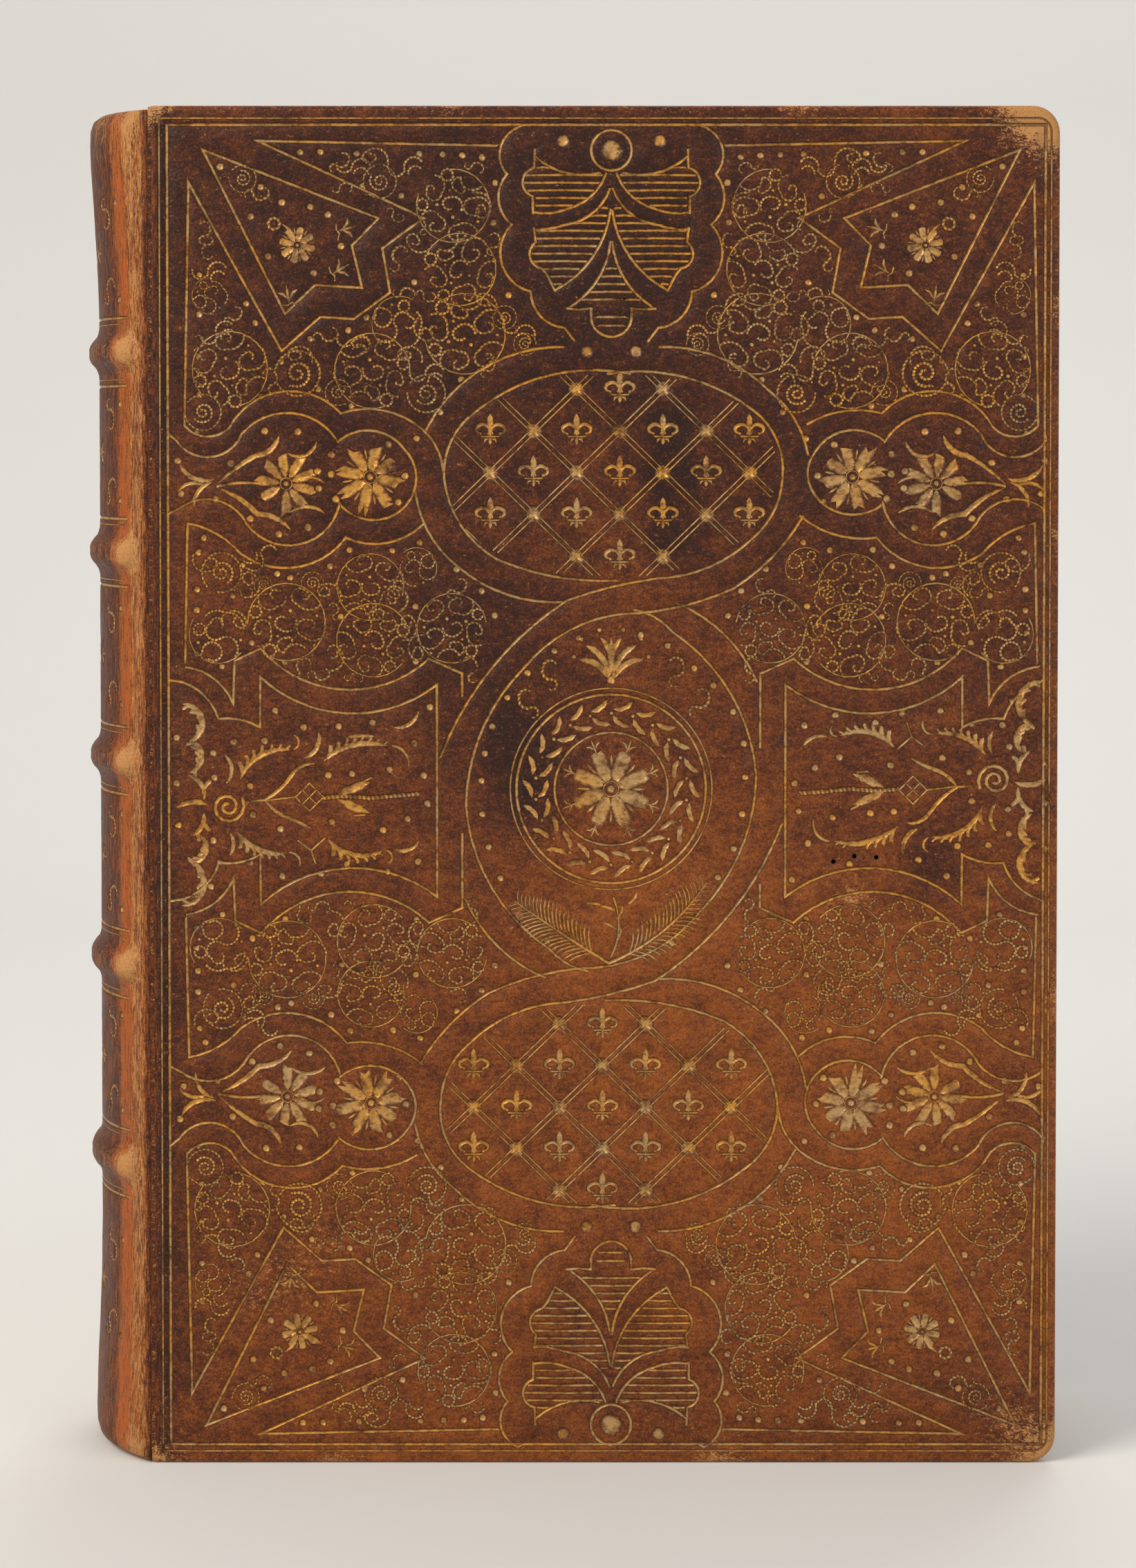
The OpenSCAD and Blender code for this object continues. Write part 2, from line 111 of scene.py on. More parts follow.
def new_material(name):
    """An empty node material and its Principled shader, already joined to the output."""
    material = bpy.data.materials.new(name)
    material.use_nodes = True
    tree = material.node_tree
    tree.nodes.clear()
    shader = add(tree, "BsdfPrincipled")
    add(tree, "OutputMaterial", {"Surface": shader})
    return material, tree, shader


sweep_paper, tree, shader = new_material("studio_paper")
feed(tree, shader, {"Base Color": srgb("D9D7D3"), "Roughness": 0.9})

sweep_mesh = bmesh.new()
front_edge = [sweep_mesh.verts.new((x, -1.6, 0)) for x in (-2.5, 2.5)]
run = [sweep_mesh.edges.new(front_edge)]
sweep_path = [(0.9, 0)] + [(0.9 + 0.5 * math.sin(a), 0.5 - 0.5 * math.cos(a))
                           for a in np.radians(range(9, 91, 9))]
sweep_path.append((1.4, 2.5))
for y, z in sweep_path:
    grown = bmesh.ops.extrude_edge_only(sweep_mesh, edges=run)["geom"]
    run = [g for g in grown if isinstance(g, bmesh.types.BMEdge)]
    for v in {v for e in run for v in e.verts}:
        v.co.y, v.co.z = y, z
bmesh.ops.recalc_face_normals(sweep_mesh, faces=sweep_mesh.faces)
sweep = bpy.data.objects.new("paper_sweep", bpy.data.meshes.new("paper_sweep"))
sweep_mesh.to_mesh(sweep.data)
sweep.data.materials.append(sweep_paper)
sweep.data.polygons.foreach_set("use_smooth", [True] * len(sweep.data.polygons))
bpy.context.scene.collection.objects.link(sweep)

world = bpy.data.worlds.new("studio")
bpy.context.scene.world = world
world.use_nodes = True
world.node_tree.nodes["Background"].inputs["Color"].default_value = srgb("F2F4F7")
world.node_tree.nodes["Background"].inputs["Strength"].default_value = 0.55


def lamp(name, place, target, size, watts, colour):
    """A square area lamp at place that shines at target."""
    data = bpy.data.lights.new(name, "AREA")
    data.size, data.energy, data.color = size, watts, srgb(colour)[:3]
    thing = bpy.data.objects.new(name, data)
    bpy.context.scene.collection.objects.link(thing)
    thing.location = place
    thing.rotation_euler = (Vector(target) - Vector(place)).to_track_quat("-Z", "Y").to_euler()


book_middle = (0, 0, 0.17)
lamp("key_lamp", (-1.1, -0.9, 1.25), book_middle, 0.9, 26, "FFF6EA")
lamp("fill_lamp", (1.3, -1.2, 0.7), book_middle, 1.3, 9, "F4F7FF")
lamp("back_lamp", (0.3, 1.1, 1.3), book_middle, 1.0, 9, "FFFFFF")
bpy.context.scene.view_settings.view_transform = "Standard"

# %% [markdown]
# ## The tooled covers
#
# A finisher presses heated brass tools into damp leather, through gold leaf. Long lines are made
# with a small wheel or a gouge, and the ornaments with hand stamps, each used many times over. The
# same is done here: a stroke is a line of stations with a width and a depth, a stamp is a few
# strokes, and the design lists where each stamp lands. Measures are in millimetres, from the middle
# of the design.

# %% Strokes
LEATHER, LINE, ROPE, BEADS = range(4)
# damp leather spreads round a tool, most of all round the small ones
SPREAD = {LINE: 1.0, ROPE: 1.4, BEADS: 1.3}


def arc(a, m, b, sag):
    """Points of the arc from a through m to b, without a itself."""
    d = 2 * (a[0] * (m[1] - b[1]) + m[0] * (b[1] - a[1]) + b[0] * (a[1] - m[1]))
    a2, m2, b2 = (p[0] ** 2 + p[1] ** 2 for p in (a, m, b))
    cx = (a2 * (m[1] - b[1]) + m2 * (b[1] - a[1]) + b2 * (a[1] - m[1])) / d
    cy = (a2 * (b[0] - m[0]) + m2 * (a[0] - b[0]) + b2 * (m[0] - a[0])) / d
    r = math.hypot(a[0] - cx, a[1] - cy)
    start, middle, end = (math.atan2(p[1] - cy, p[0] - cx) for p in (a, m, b))
    sweep = (end - start) % math.tau
    if (middle - start) % math.tau > sweep:
        sweep -= math.tau
    steps = max(2, math.ceil(abs(sweep) / (2 * math.acos(max(0.0, 1 - sag / r)))))
    return [(cx + r * math.cos(start + sweep * k / steps), cy + r * math.sin(start + sweep * k / steps))
            for k in range(1, steps + 1)]


def path(*stops, sag=0.05):
    """Points along a path: a plain stop is reached straight, and a pair is an arc through its first."""
    points = [stops[0]]
    for stop in stops[1:]:
        points += arc(points[-1], *stop, sag) if isinstance(stop[0], tuple) else [stop]
    return points


def stroke(points, half=0.5, depth=0.35, kind=LINE, closed=False):
    """A pressed line. half is its half width, or a function of how far along it is, from 0 to 1."""
    return [(points, half, depth, kind, closed)]


def spiral(x, y, inner, outer, turns, start=0.0):
    """Points of a spiral round x, y, from its outer end to its inner end."""
    steps = int(turns * 13)
    return [(x + (outer + (inner - outer) * k / steps) * math.cos(start + turns * math.tau * k / steps),
             y + (outer + (inner - outer) * k / steps) * math.sin(start + turns * math.tau * k / steps))
            for k in range(steps + 1)]


def ring(x, y, r, count=14):
    """Points of a circle."""
    return [(x + r * math.cos(math.tau * k / count), y + r * math.sin(math.tau * k / count))
            for k in range(count)]


def stamp(tool, x, y, turn=0.0, size=1.0, flip=1):
    """A copy of a tool's strokes, flipped, turned by degrees, sized and moved to x, y."""
    c, s = size * math.cos(math.radians(turn)), size * math.sin(math.radians(turn))
    return [([(x + c * flip * px - s * py, y + s * flip * px + c * py) for px, py in points],
             (lambda t, h=half: size * h(t)) if callable(half) else half * size, depth, kind, closed)
            for points, half, depth, kind, closed in tool]


def mirrored(strokes, sx, sy):
    """The strokes on another side of the design."""
    return [([(sx * x, sy * y) for x, y in points], half, depth, kind, closed)
            for points, half, depth, kind, closed in strokes]


def four_corners(strokes):
    """The strokes of one corner in all four."""
    return [s for sx in (-1, 1) for sy in (-1, 1) for s in mirrored(strokes, sx, sy)]


def leaf(width, power=0.8):
    """The half width of a leaf: pointed at both ends."""
    return lambda t: width * max(0.0, math.sin(math.pi * t)) ** power


def petal(width):
    """The half width of a petal: narrow at its foot and round at its tip."""
    return lambda t: width * (0.16 + 0.84 * math.sin(math.pi * min(1, 0.5 * t / 0.62)) if t < 0.62 else
                              math.sqrt(max(0.0, 1 - ((t - 0.62) / 0.38) ** 2.4)))


# %% [markdown]
# The strapwork comes first: the edges of flat straps that pass over and under each other. These are
# the same paths as in the solid model, so the two agree line for line.

# %% Strapwork
FRAME = (112.7, 170.5)
OFF_X, OFF_Y = 1.3, 0.7        # how far the frame is off the design's middle, to the left and up
top_cusp, top_cusp_out, foot_cusp, foot_cusp_out = (70.3, 90), (69.5, 97.3), (69.9, 74), (68.3, 65.3)
in_corners = [
    path((29.5, 165.9), (90.8, 167.1), (48.2, 147.4), (58.8, 139.6), (56.8, 128.3), (66.2, 121.5),
         (74.8, 122), (84.7, 113.3), (108.5, 156.4), (109.7, 94.1), ((103.9, 91.3), (98.2, 93.6)),
         ((82.9, 103), top_cusp_out)),
    path((22.6, 171), ((28.5, 165.2), (26.8, 158.6)), ((29, 152.5), (25.6, 145.7)),
         ((28.4, 136.8), (20.7, 128.5)), ((18, 122), (12, 119.2)), (9.3, 115.6)),
    path((112.7, 92), ((104.2, 86), (95, 92)), ((83.2, 97.4), top_cusp)),
    path((112.7, 71.4), ((104.8, 75.2), (94.9, 70.7)), ((84.6, 63.4), foot_cusp)),
    path((109.7, 33.7), (109, 69), ((101.5, 66.3), (95.5, 61.3)), ((81.8, 57.6), foot_cusp_out)),
]
corner_star = path((104.8, 164.8), (59.8, 147.3), (66.6, 140.3), (64, 129.5), (76.1, 130.2), (83.8, 122.8))
panel_out = path((109.7, 32), ((103.2, 29.6), (97.4, 22.6)), (97, 33.6), (90.3, 36.8),
                 ((68, 26.1), (47, 34.1)), (38.4, 30.3))
panel_in = path((112.7, 28.6), ((105.9, 25.6), (101.2, 18.6)), ((95.6, 18.4), (90.5, 16.4)), (90.4, 29.4),
                ((67.5, 20), (44.9, 27.4)))
interlace_right = [
    path((12.2, 114.3), ((28.6, 111.3), (40.4, 103.2)), ((47.8, 94.6), (50.6, 86.6))),
    path(top_cusp, ((62, 93), (52.5, 87.6)), ((50.5, 82.5), (51.4, 77.9)), ((58.4, 71.8), foot_cusp)),
    path((50.2, 94.4), ((59.2, 97.8), top_cusp_out)),
    path((48.4, 71), ((57.8, 66), foot_cusp_out)),
    path((-1, 107.4), ((23.4, 105.2), (36.6, 98)), ((43, 89.3), (44, 80.6)), ((42, 72.4), (36.6, 65.4)),
         ((25.8, 58), (11.8, 54.8)), ((0.4, 52.7), (-11.3, 49.2)), ((-31.8, 30.4), (-43.9, 8.9))),
    path((5, 107.4), ((-20.8, 105.6), (-34.5, 98)), ((-41.6, 89.2), (-43, 80.6)),
         ((-39.6, 70), (-29.3, 59.7)), ((-14.8, 55.3), (1.2, 54.3))),
    path((49.4, 70.9), ((42, 60.9), (31.4, 52.2)), ((21.4, 48.5), (7.4, 45.9)),
         ((-8.2, 42.7), (-22.6, 31.6)), ((-33.8, 14.4), (-37.4, -4.2)), ((-31.2, -24.4), (-15.8, -41)),
         ((-11.2, -44.8), (-6, -46.7))),
    path((-37.5, -28.2), ((-29.7, -39.8), (-17.2, -48.3))),
]
interlace_left = [
    path((12.2, 114.3), ((32, 109.4), (47.3, 93.6))),
    path(top_cusp, ((62.3, 92.9), (53.3, 88.2)), ((50.2, 79.6), (54.3, 72.2)), ((62.3, 69.9), foot_cusp)),
    path(top_cusp_out, ((59.6, 98.2), (50.6, 94.7)), ((45.2, 89), (43.2, 82.4))),
    path((48.6, 68.6), ((58, 63.9), foot_cusp_out)),
    path((50.4, 77), ((47.8, 68.2), (39.3, 57.7)), ((29.3, 51.6), (12.5, 48.7))),
]

strapwork = []
for sx in (-1, 1):
    for sy in (-1, 1):
        long_upright = 11 if sx == sy else 24.2
        # lines that start on the frame are let out or cut off to meet it
        edge_x, edge_y = FRAME[0] - sx * OFF_X, FRAME[1] + sy * OFF_Y
        for line in in_corners + [panel_out + [(38.4, long_upright)]]:
            line = [(edge_x if x == FRAME[0] else x, edge_y if y == 171 else y) for x, y in line]
            strapwork += mirrored(stroke(line), sx, sy)
        strapwork += mirrored(stroke(corner_star, closed=True), sx, sy)
    half_panel = [(FRAME[0] - sx * OFF_X if x == FRAME[0] else x, y) for x, y in panel_in]
    whole = half_panel + [(x, -y) for x, y in reversed(half_panel)]
    strapwork += mirrored(stroke(whole), sx, 1)
for turn in (1, -1):
    for line in interlace_right:
        strapwork += mirrored(stroke(line), turn, turn)
    for line in interlace_left:
        strapwork += mirrored(stroke(line), -turn, turn)
frame_left, frame_right = -FRAME[0] - OFF_X, FRAME[0] - OFF_X
frame_low, frame_high = -FRAME[1] + OFF_Y, FRAME[1] + OFF_Y
strapwork += stroke([(frame_left, frame_low), (frame_right, frame_low), (frame_right, frame_high),
                     (frame_left, frame_high)], closed=True)
# a second, finer line runs round outside it
strapwork += stroke(path((-116.0, -171.5), (109.5, -171.5), ((111.9, -170.5), (112.9, -168.1)),
                         (112.9, 169.5), ((111.9, 171.9), (109.5, 172.9)),
                         (-116.0, 172.9)), 0.3, 0.3, LINE, closed=True)
strap_points = np.array([(x0 + (x1 - x0) * t, y0 + (y1 - y0) * t) for points, *_ in strapwork
                         for (x0, y0), (x1, y1) in zip(points, points[1:])
                         for t in np.arange(0, 1, 0.8 / max(0.8, math.hypot(x1 - x0, y1 - y0)))])


def clear(strokes, room=1.1):
    """The strokes, or none if they come too near to the strapwork."""
    points = np.array([p for s in strokes for p in s[0]])
    gaps = np.linalg.norm(points[:, None] - strap_points[None], axis=2)
    return strokes if gaps.min() > room else []


print("strapwork:", len(strapwork), "lines")

# %% [markdown]
# Next the hand stamps. Rope and bead strokes are only a little wider than a thread, and their
# twist and beads come from the material, which follows the stroke's own coordinates.

# %% Stamps
dot = stroke([(0, 0)], 1.12, 0.42)
small_dot = stroke([(0, 0)], 0.8, 0.35)


def fine(shapes, half, kind):
    """Fine strokes of one width along several paths."""
    depth = {LINE: 0.2, ROPE: 0.2, BEADS: 0.12}[kind]
    return [s for shape in shapes for s in stroke(shape, half, depth, kind)]


def dots(places, depth=0.3):
    """Round marks at x, y, radius."""
    return [s for x, y, r in places for s in stroke([(x, y)], r, depth)]


snail = fine([arc((4.4, -1.6), (-1.2, 4.5), (-0.6, -4.6), 0.06)
              + arc((-0.6, -4.6), (2.2, -4.0), (4.0, -2.6), 0.06)], 0.26, ROPE)
snail += fine([spiral(0, 0, 0.5, 2.9, 1.6, 0.6)], 0.36, BEADS)
coil = fine([arc((8.6, 5.1), (-9.4, -3.4), (9.4, -3.4), 0.09)], 0.3, LINE)
coil += fine([path((-9.2, 3.6), ((-6.2, 7.0), (-2.8, 5.0)), ((-2.6, 1.4), (-5.6, 1.4)),
                   ((-6.6, 3.0), (-5.2, 3.8))),
              path((-2.6, 9.2), ((0.2, 6.0), (3.4, 7.2)), ((4.2, 4.6), (1.6, 3.8)), ((0.2, 5.0), (1.4, 5.8))),
              path((9.2, 3.2), ((6.2, 3.4), (4.6, 0.6)), ((5.4, -2.6), (8.2, -1.4)),
                   ((8.2, 0.4), (6.8, 0.0))),
              path((4.6, -8.6), ((3.9, -5.0), (0.8, -4.6)), ((-2.0, -6.0), (-0.6, -8.4)),
                   ((1.4, -8.2), (0.8, -6.8))),
              path((-9.8, -1.2), ((-6.4, -1.0), (-4.2, -3.4)), ((-4.6, -7.0), (-7.4, -5.8)),
                   ((-7.4, -3.9), (-6.0, -4.2)))], 0.3, ROPE)
coil += fine([path((-2.6, 0.2), ((-0.6, 2.4), (2.2, 1.2)), ((2.2, -1.6), (-0.2, -1.0)))], 0.38, BEADS)
for y, r in ((5.4, 1.7), (-5.2, 1.6)):
    coil += stroke(ring(6.6, y, r, 7), 0.36, 0.12, BEADS, closed=True)
coil += dots([(-1.9, -2.4, 0.72), (3.6, -2.6, 0.72), (-4.7, 8.1, 0.66), (-7.9, 1.1, 0.62), (3.4, 2.6, 0.62)])
bead_coil = fine([arc((-6.5, 4.5), (-5.6, -5.4), (6.6, -3.6), 0.08)], 0.28, LINE)
bead_coil += fine([path((-7.6, 0.6), ((-4.0, 3.0), (-1.4, 0.4)), ((0.6, -2.6), (3.4, -0.2)),
                        ((2.8, 2.6), (0.8, 1.6))),
                   path((-4.4, -5.6), ((-5.0, -1.6), (-2.6, -1.4)), ((-0.8, -3.6), (-2.2, -6.0)),
                        ((-3.4, -6.8), (-4.4, -5.6))),
                   path((-2.6, 6.4), ((1.0, 7.0), (3.8, 4.4)), ((5.6, 2.4), (5.6, -0.6)))], 0.38, BEADS)
bead_coil += stroke(ring(3.4, -3.6, 1.6, 8), 0.36, 0.12, BEADS, closed=True)
bead_coil += dots([(-4.4, 4.4, 0.66), (0.6, -5.6, 0.66)])
hook = fine([path((2.2, 0.9), ((0.9, 2.3), (-1.0, 1.3)), ((-1.6, -0.6), (0.1, -2.2)),
                  ((0.5, -4.0), (-1.6, -3.9)),
                  sag=0.08)], lambda t: 0.2 + 0.16 * math.sin(math.pi * min(1, t * 1.1)), ROPE)
loop = fine([path((-3.4, -1.2), ((-0.6, 1.8), (2.2, 0.6)), ((2.4, -1.8), (0.2, -1.4)),
                  ((-0.2, -0.2), (0.8, 0.2)), sag=0.08)], 0.28, ROPE)
bead_arcs = fine([arc((-4.6, -0.6), (-1.8, 2.4), (0.6, -0.4), 0.08),
                  arc((0.6, -0.4), (2.8, -2.2), (4.8, 0.2), 0.08),
                  arc((-4.2, -2.2), (-2.0, 0.0), (-0.2, -2.0), 0.08)], 0.36, BEADS)
small_ring = stroke(ring(0, 0, 1.5, 10), 0.36, 0.25, ROPE, closed=True)
print("a coil has", len(coil), "strokes, and a bead coil", len(bead_coil))

# %% [markdown]
# Leaves, petals and lilies are strokes whose width swells and shrinks along them. A flower is one
# petal stamped round in a ring, with a finer leaf between each two.

# %% Leaves and flowers
leaf_tip = stroke([(0, 0), (0.9, 0.2), (1.8, 0.5), (2.7, 0.9), (3.5, 1.5)], leaf(0.62), 0.3)
sprig = stroke([(0, -3.2), (0.1, 0), (0, 3.2)], leaf(0.6), 0.3)
for side_x in (1, -1):
    sprig += stroke([(0, -1.4), (1.5 * side_x, 0.6), (3.1 * side_x, 1.2)], leaf(0.6), 0.3)
sprig += stroke([(-2.3, -3.2), (-0.8, -2.4), (0.6, -3.0), (2.2, -2.6)], 0.35, 0.25)


def swelling(*widths):
    """A half width that takes these values in turn at a stroke's stations."""
    return lambda t: widths[round(t * (len(widths) - 1))]


lily = stroke([(0, -1.4), (0, 0.4), (0, 2.0), (0, 3.4), (0, 5.3)], swelling(0.42, 0.62, 1.25, 1.15, 0), 0.3)
for side_x in (1, -1):
    side_petal = path((0.7, -1.0), ((1.6, 1.9), (3.5, 1.6)), ((4.3, 0.1), (3.1, -0.6)))
    lily += mirrored(stroke(side_petal, lambda t: 0.35 + 0.45 * math.sin(math.pi * t), 0.3), side_x, 1)
lily += dots([(3.0, -0.8, 0.7), (-3.0, -0.8, 0.7)])
lily += stroke([(-2.3, -1.7), (0, -1.7), (2.3, -1.7)], 0.42, 0.3)
lily += stroke([(0, -2.2), (0, -3.2), (0, -4.3)], swelling(0.5, 0.75, 0), 0.3)
for side_x in (1, -1):
    lily += stroke([(0.5 * side_x, -2.4), (1.5 * side_x, -2.6), (1.9 * side_x, -3.6)], leaf(0.45), 0.3)


def upright(*heights):
    """The stations of a straight stroke that stands on the middle of a tool."""
    return [(0, y) for y in heights]


flower, fan_flower = [], []
for k in range(8):
    flower += stamp(stroke(upright(1.9, 2.6, 3.6, 4.6, 5.6, 6.5, 7.1), petal(1.78), 0.4), 0, 0, 45 * k + 12)
    flower += stamp(stroke(upright(4.2, 5.4, 6.9), swelling(0, 0.42, 0), 0.3), 0, 0, 45 * k + 34.5)
flower += dots([(0, 0, 1.05)], 0.4) + stroke(ring(0, 0, 1.55, 12), 0.2, 0.2, closed=True)
for k in range(9):
    fan_flower += stamp(stroke(upright(1.8, 2.8, 4.0, 5.2, 6.3, 7.0), petal(1.5), 0.4), 0, 0, 60 + 37.5 * k)
fan_flower += dots([(0, 0, 0.9)], 0.4) + stroke(ring(0, 0, 1.45, 12), 0.2, 0.2, closed=True)
print("a lily has", len(lily), "strokes, and a flower", len(flower))

# %% [markdown]
# Now the stamps are laid out. The fields round the corner stars and under the flowers are filled with
# coils and small curls, and the spaces between them with dots. They are the same in all four corners.

# %% Scroll fields
corner = []
for x, y, size, turn, flip in [
        (40.6, 150.5, 0.94, 40, 1), (38.9, 134.2, 0.93, -20, 1), (37.6, 117.7, 1.04, 10, 1),
        (61.4, 108.2, 0.97, 205, 1), (98.0, 108.6, 0.97, 120, -1), (83.6, 43.6, 1.0, 160, -1),
        (62.0, 52.6, 0.86, 215, 1), (61.2, 38.9, 0.95, 20, -1), (41.0, 42.0, 0.9, 190, 1)]:
    corner += stamp(coil, x, y, turn, size, flip)
for x, y, size, turn, flip in [
        (54.3, 120.4, 0.92, 150, 1), (101.3, 40.6, 0.98, 60, 1), (50.2, 57.6, 0.68, 200, -1),
        (102.9, 127.6, 0.62, 100, 1)]:
    corner += stamp(bead_coil, x, y, turn, size, flip)
for x, y, size, turn in [
        (104.9, 97.6, 1.0, 180), (59.4, 156.7, 0.92, 250), (47.5, 102.4, 1.05, 180),
        (70.2, 102.6, 0.72, 20), (22.2, 115.0, 0.62, 0), (80.6, 107.6, 1.25, 150),
        (100.3, 56.4, 1.1, 100), (27.4, 121.9, 0.66, 200), (76.9, 53.6, 0.62, 60), (89.6, 53.0, 0.5, 30)]:
    corner += stamp(snail, x, y, turn, size, -1)
for x, y, size, turn, flip in [
        (104.2, 144.4, 0.72, 20, 1), (103.8, 138.9, 0.72, 200, 1), (54.6, 138.0, 0.85, 10, -1),
        (72.4, 117.3, 0.8, 90, 1), (87.4, 106.6, 0.82, 0, 1), (68.9, 161.9, 0.75, 60, 1),
        (52.4, 128.2, 0.7, 80, -1), (46.9, 127.1, 0.62, 120, 1), (105.8, 115.6, 0.6, 20, 1),
        (105.6, 106.0, 0.6, 160, 1), (79.5, 32.6, 0.75, 30, -1), (74.5, 29.9, 0.7, 100, 1),
        (65.6, 29.4, 0.6, 80, -1), (36.1, 32.4, 0.85, 0, 1), (38.9, 52.6, 0.75, 60, 1),
        (31.2, 109.6, 0.66, 40, 1), (48.6, 145.6, 0.5, 0, 1), (29.9, 141.4, 0.72, 30, 1),
        (96.4, 122.6, 0.7, 60, 1), (71.2, 47.0, 0.55, 0, 1), (34.4, 160.4, 0.62, 90, -1),
        (94.0, 51.0, 0.6, 110, 1), (55.0, 147.6, 0.6, 140, 1), (68.3, 155.2, 0.62, 70, -1)]:
    corner += stamp(hook, x, y, turn, size * 1.15, flip)
for x, y, turn in [(66.0, 160.6, 10), (52.6, 160.4, -8), (103.0, 133.8, 0), (47.2, 107.6, 0),
                   (101.0, 118.0, -20), (66.0, 115.6, 20), (90.2, 60.0, 150), (23.6, 118.6, 30)]:
    corner += stamp(bead_arcs, x, y, turn, 0.95)
for x, y, turn, flip in [
        (50.6, 151.6, 30, 1), (49.8, 140.6, 200, -1), (31.6, 125.6, 60, 1), (27.4, 134.0, 120, -1),
        (51.6, 112.6, 20, 1), (48.6, 118.6, 250, 1), (63.6, 126.6, 320, 1), (79.8, 112.6, 20, 1),
        (88.6, 113.6, 160, -1), (86.0, 100.4, 0, 1), (106.0, 150.4, 90, 1), (101.8, 149.6, 270, -1),
        (97.6, 131.0, 60, 1), (99.8, 137.8, 240, 1), (60.6, 163.4, 10, 1), (73.0, 160.2, 190, 1),
        (32.8, 150.6, 80, -1), (106.2, 88.6, 100, 1), (54.0, 97.8, 20, 1), (62.6, 96.0, 200, 1),
        (36.4, 102.4, 160, 1), (96.6, 62.6, 20, 1), (104.6, 58.4, 200, 1), (92.4, 53.6, 80, 1),
        (96.8, 44.6, 10, -1), (106.4, 50.0, 90, 1), (94.6, 33.8, 20, 1), (86.0, 30.0, 200, -1),
        (70.8, 34.6, 90, 1), (72.4, 51.6, 30, 1), (52.0, 42.2, 100, 1), (50.4, 37.0, 280, 1),
        (56.2, 31.2, 10, 1), (32.6, 40.2, 90, -1), (33.0, 57.4, 120, 1), (44.6, 60.6, 30, 1),
        (70.4, 62.2, 190, 1), (54.6, 50.4, 60, 1), (30.6, 34.6, 200, 1), (44.6, 92.6, 130, 1)]:
    corner += clear(stamp(loop, x, y, turn, 1.05, flip))
for x, y in [(79.8, 164.2), (74.6, 164.2), (65.3, 163.9), (49.3, 163.7), (43.3, 163.6), (38.2, 163.4),
             (33.2, 162.9), (29.8, 156.4), (30.2, 146.2), (29.8, 136.9), (63.9, 155.4), (54.0, 153.0),
             (50.6, 130.9), (62.9, 121.9), (67.6, 118.6), (77.3, 116.4), (84.8, 110.6), (90.1, 101.6),
             (106, 111.8), (106, 101.9), (105.8, 132.6), (105.9, 122.6), (93.8, 125.4), (38.6, 105.9),
             (75.3, 103.4), (66.8, 99.1), (44.0, 97.6), (106.6, 92.2), (91.5, 120.4), (104.8, 65.2),
             (106.2, 61.5), (106.6, 52.0), (95.0, 58.2), (97.4, 50.4), (86, 56.0), (82.6, 55.0),
             (72.3, 58), (67.3, 62.2), (56.3, 62.0), (49.3, 64), (39.8, 57.2), (33.4, 51.6),
             (106.6, 46.6), (107.0, 40.7), (107.0, 35.4), (100.3, 32.1), (92.6, 38.2), (84.0, 33.2),
             (50.3, 33.3), (41.4, 32.0), (30.0, 45.2), (50.4, 47.6), (69.6, 44.9), (50.0, 90.8),
             (26.4, 127.6)]:
    corner += stamp(dot, x, y)

# %% [markdown]
# Each corner star holds a small flower between sprigs, and each side of the upper and lower ovals has a
# tulip that opens into a fan, with a round flower beside it.

# %% Stars and tulips
corner += stamp(snail, 94.6, 157.4, 40, 0.75) + stamp(hook, 90.0, 153.4, 100, 0.9)
corner += stamp(flower, 80.6, 140.4, 0, 0.66)
for x, y, turn in [(68.0, 144.6, 75), (69.6, 134.2, 60), (83.0, 127.6, -10)]:
    corner += stamp(sprig, x, y, turn, 0.85)
corner += stamp(small_ring, 86.6, 145.9)
for x, y in [(100.3, 160.5), (90.0, 155.2), (84.5, 151.3), (92.6, 147.7), (77.2, 150.2), (72.7, 148.2),
             (69.4, 140.2), (88.1, 137.5), (76.4, 133.2)]:
    corner += stamp(dot, x, y, 0, 1.05)

tulip = []
for stops, width, depth in [
        (((101.5, 79), ((97.0, 82.8), (91.5, 86.4)), ((88.0, 87.6), (85.4, 91.6))), leaf(1.0, 0.6), 0.35),
        (((101.5, 78.2), ((96.0, 75.6), (91.0, 71.4)), ((87.4, 70.8), (82.4, 67.2))), leaf(1.0, 0.6), 0.35),
        (((101, 78.6), ((96.0, 79.4), (90.6, 79.2))), 0.55, 0.35),
        (((111.0, 84.2), ((107.0, 80.4), (102.0, 80.4))), leaf(0.9, 0.6), 0.35),
        (((111.6, 77.0), ((107.4, 79.4), (104.4, 78.6))), leaf(0.7, 0.6), 0.35),
        (((102.6, 79.6), ((106.0, 77.4), (107.4, 73.0))), leaf(0.8, 0.6), 0.35)]:
    tulip += stroke(path(*stops), width, depth)
for ends in (((75.6, 91.2), (77.4, 87.2), (83.2, 87.0)), ((72.8, 70.6), (77.2, 73.2), (82.6, 71.8))):
    tulip += stroke(arc(*ends, 0.04), leaf(0.7, 0.6), 0.3)
tulip += stroke(path((81.2, 79.8), ((76.0, 80.6), (73.6, 79.2))), leaf(0.55, 0.6), 0.3)
tulip += stamp(fan_flower, 83.6, 79.2, 180, 1.06)
tulip += stamp(flower, 62.0, 80.9, 0, 1.06)
for x, y in [(111.4, 85), (97.8, 84.5), (89.1, 92.7), (80.6, 92.5), (72, 86.7), (92.8, 70.2),
             (85.5, 66.2), (78, 67.9), (57.3, 89.2), (53, 81.2), (54.8, 74.4), (70.8, 75.2), (75.3, 78.0),
             (75.5, 82.4), (110.6, 76.6), (101.8, 75.2), (72.0, 81.6)]:
    tulip += stamp(dot, x, y, 0, 1.1)
corner += tulip
ornament = four_corners(corner)

# %% [markdown]
# The panels at the middle of the two sides hold a spiral, branches and leaves.

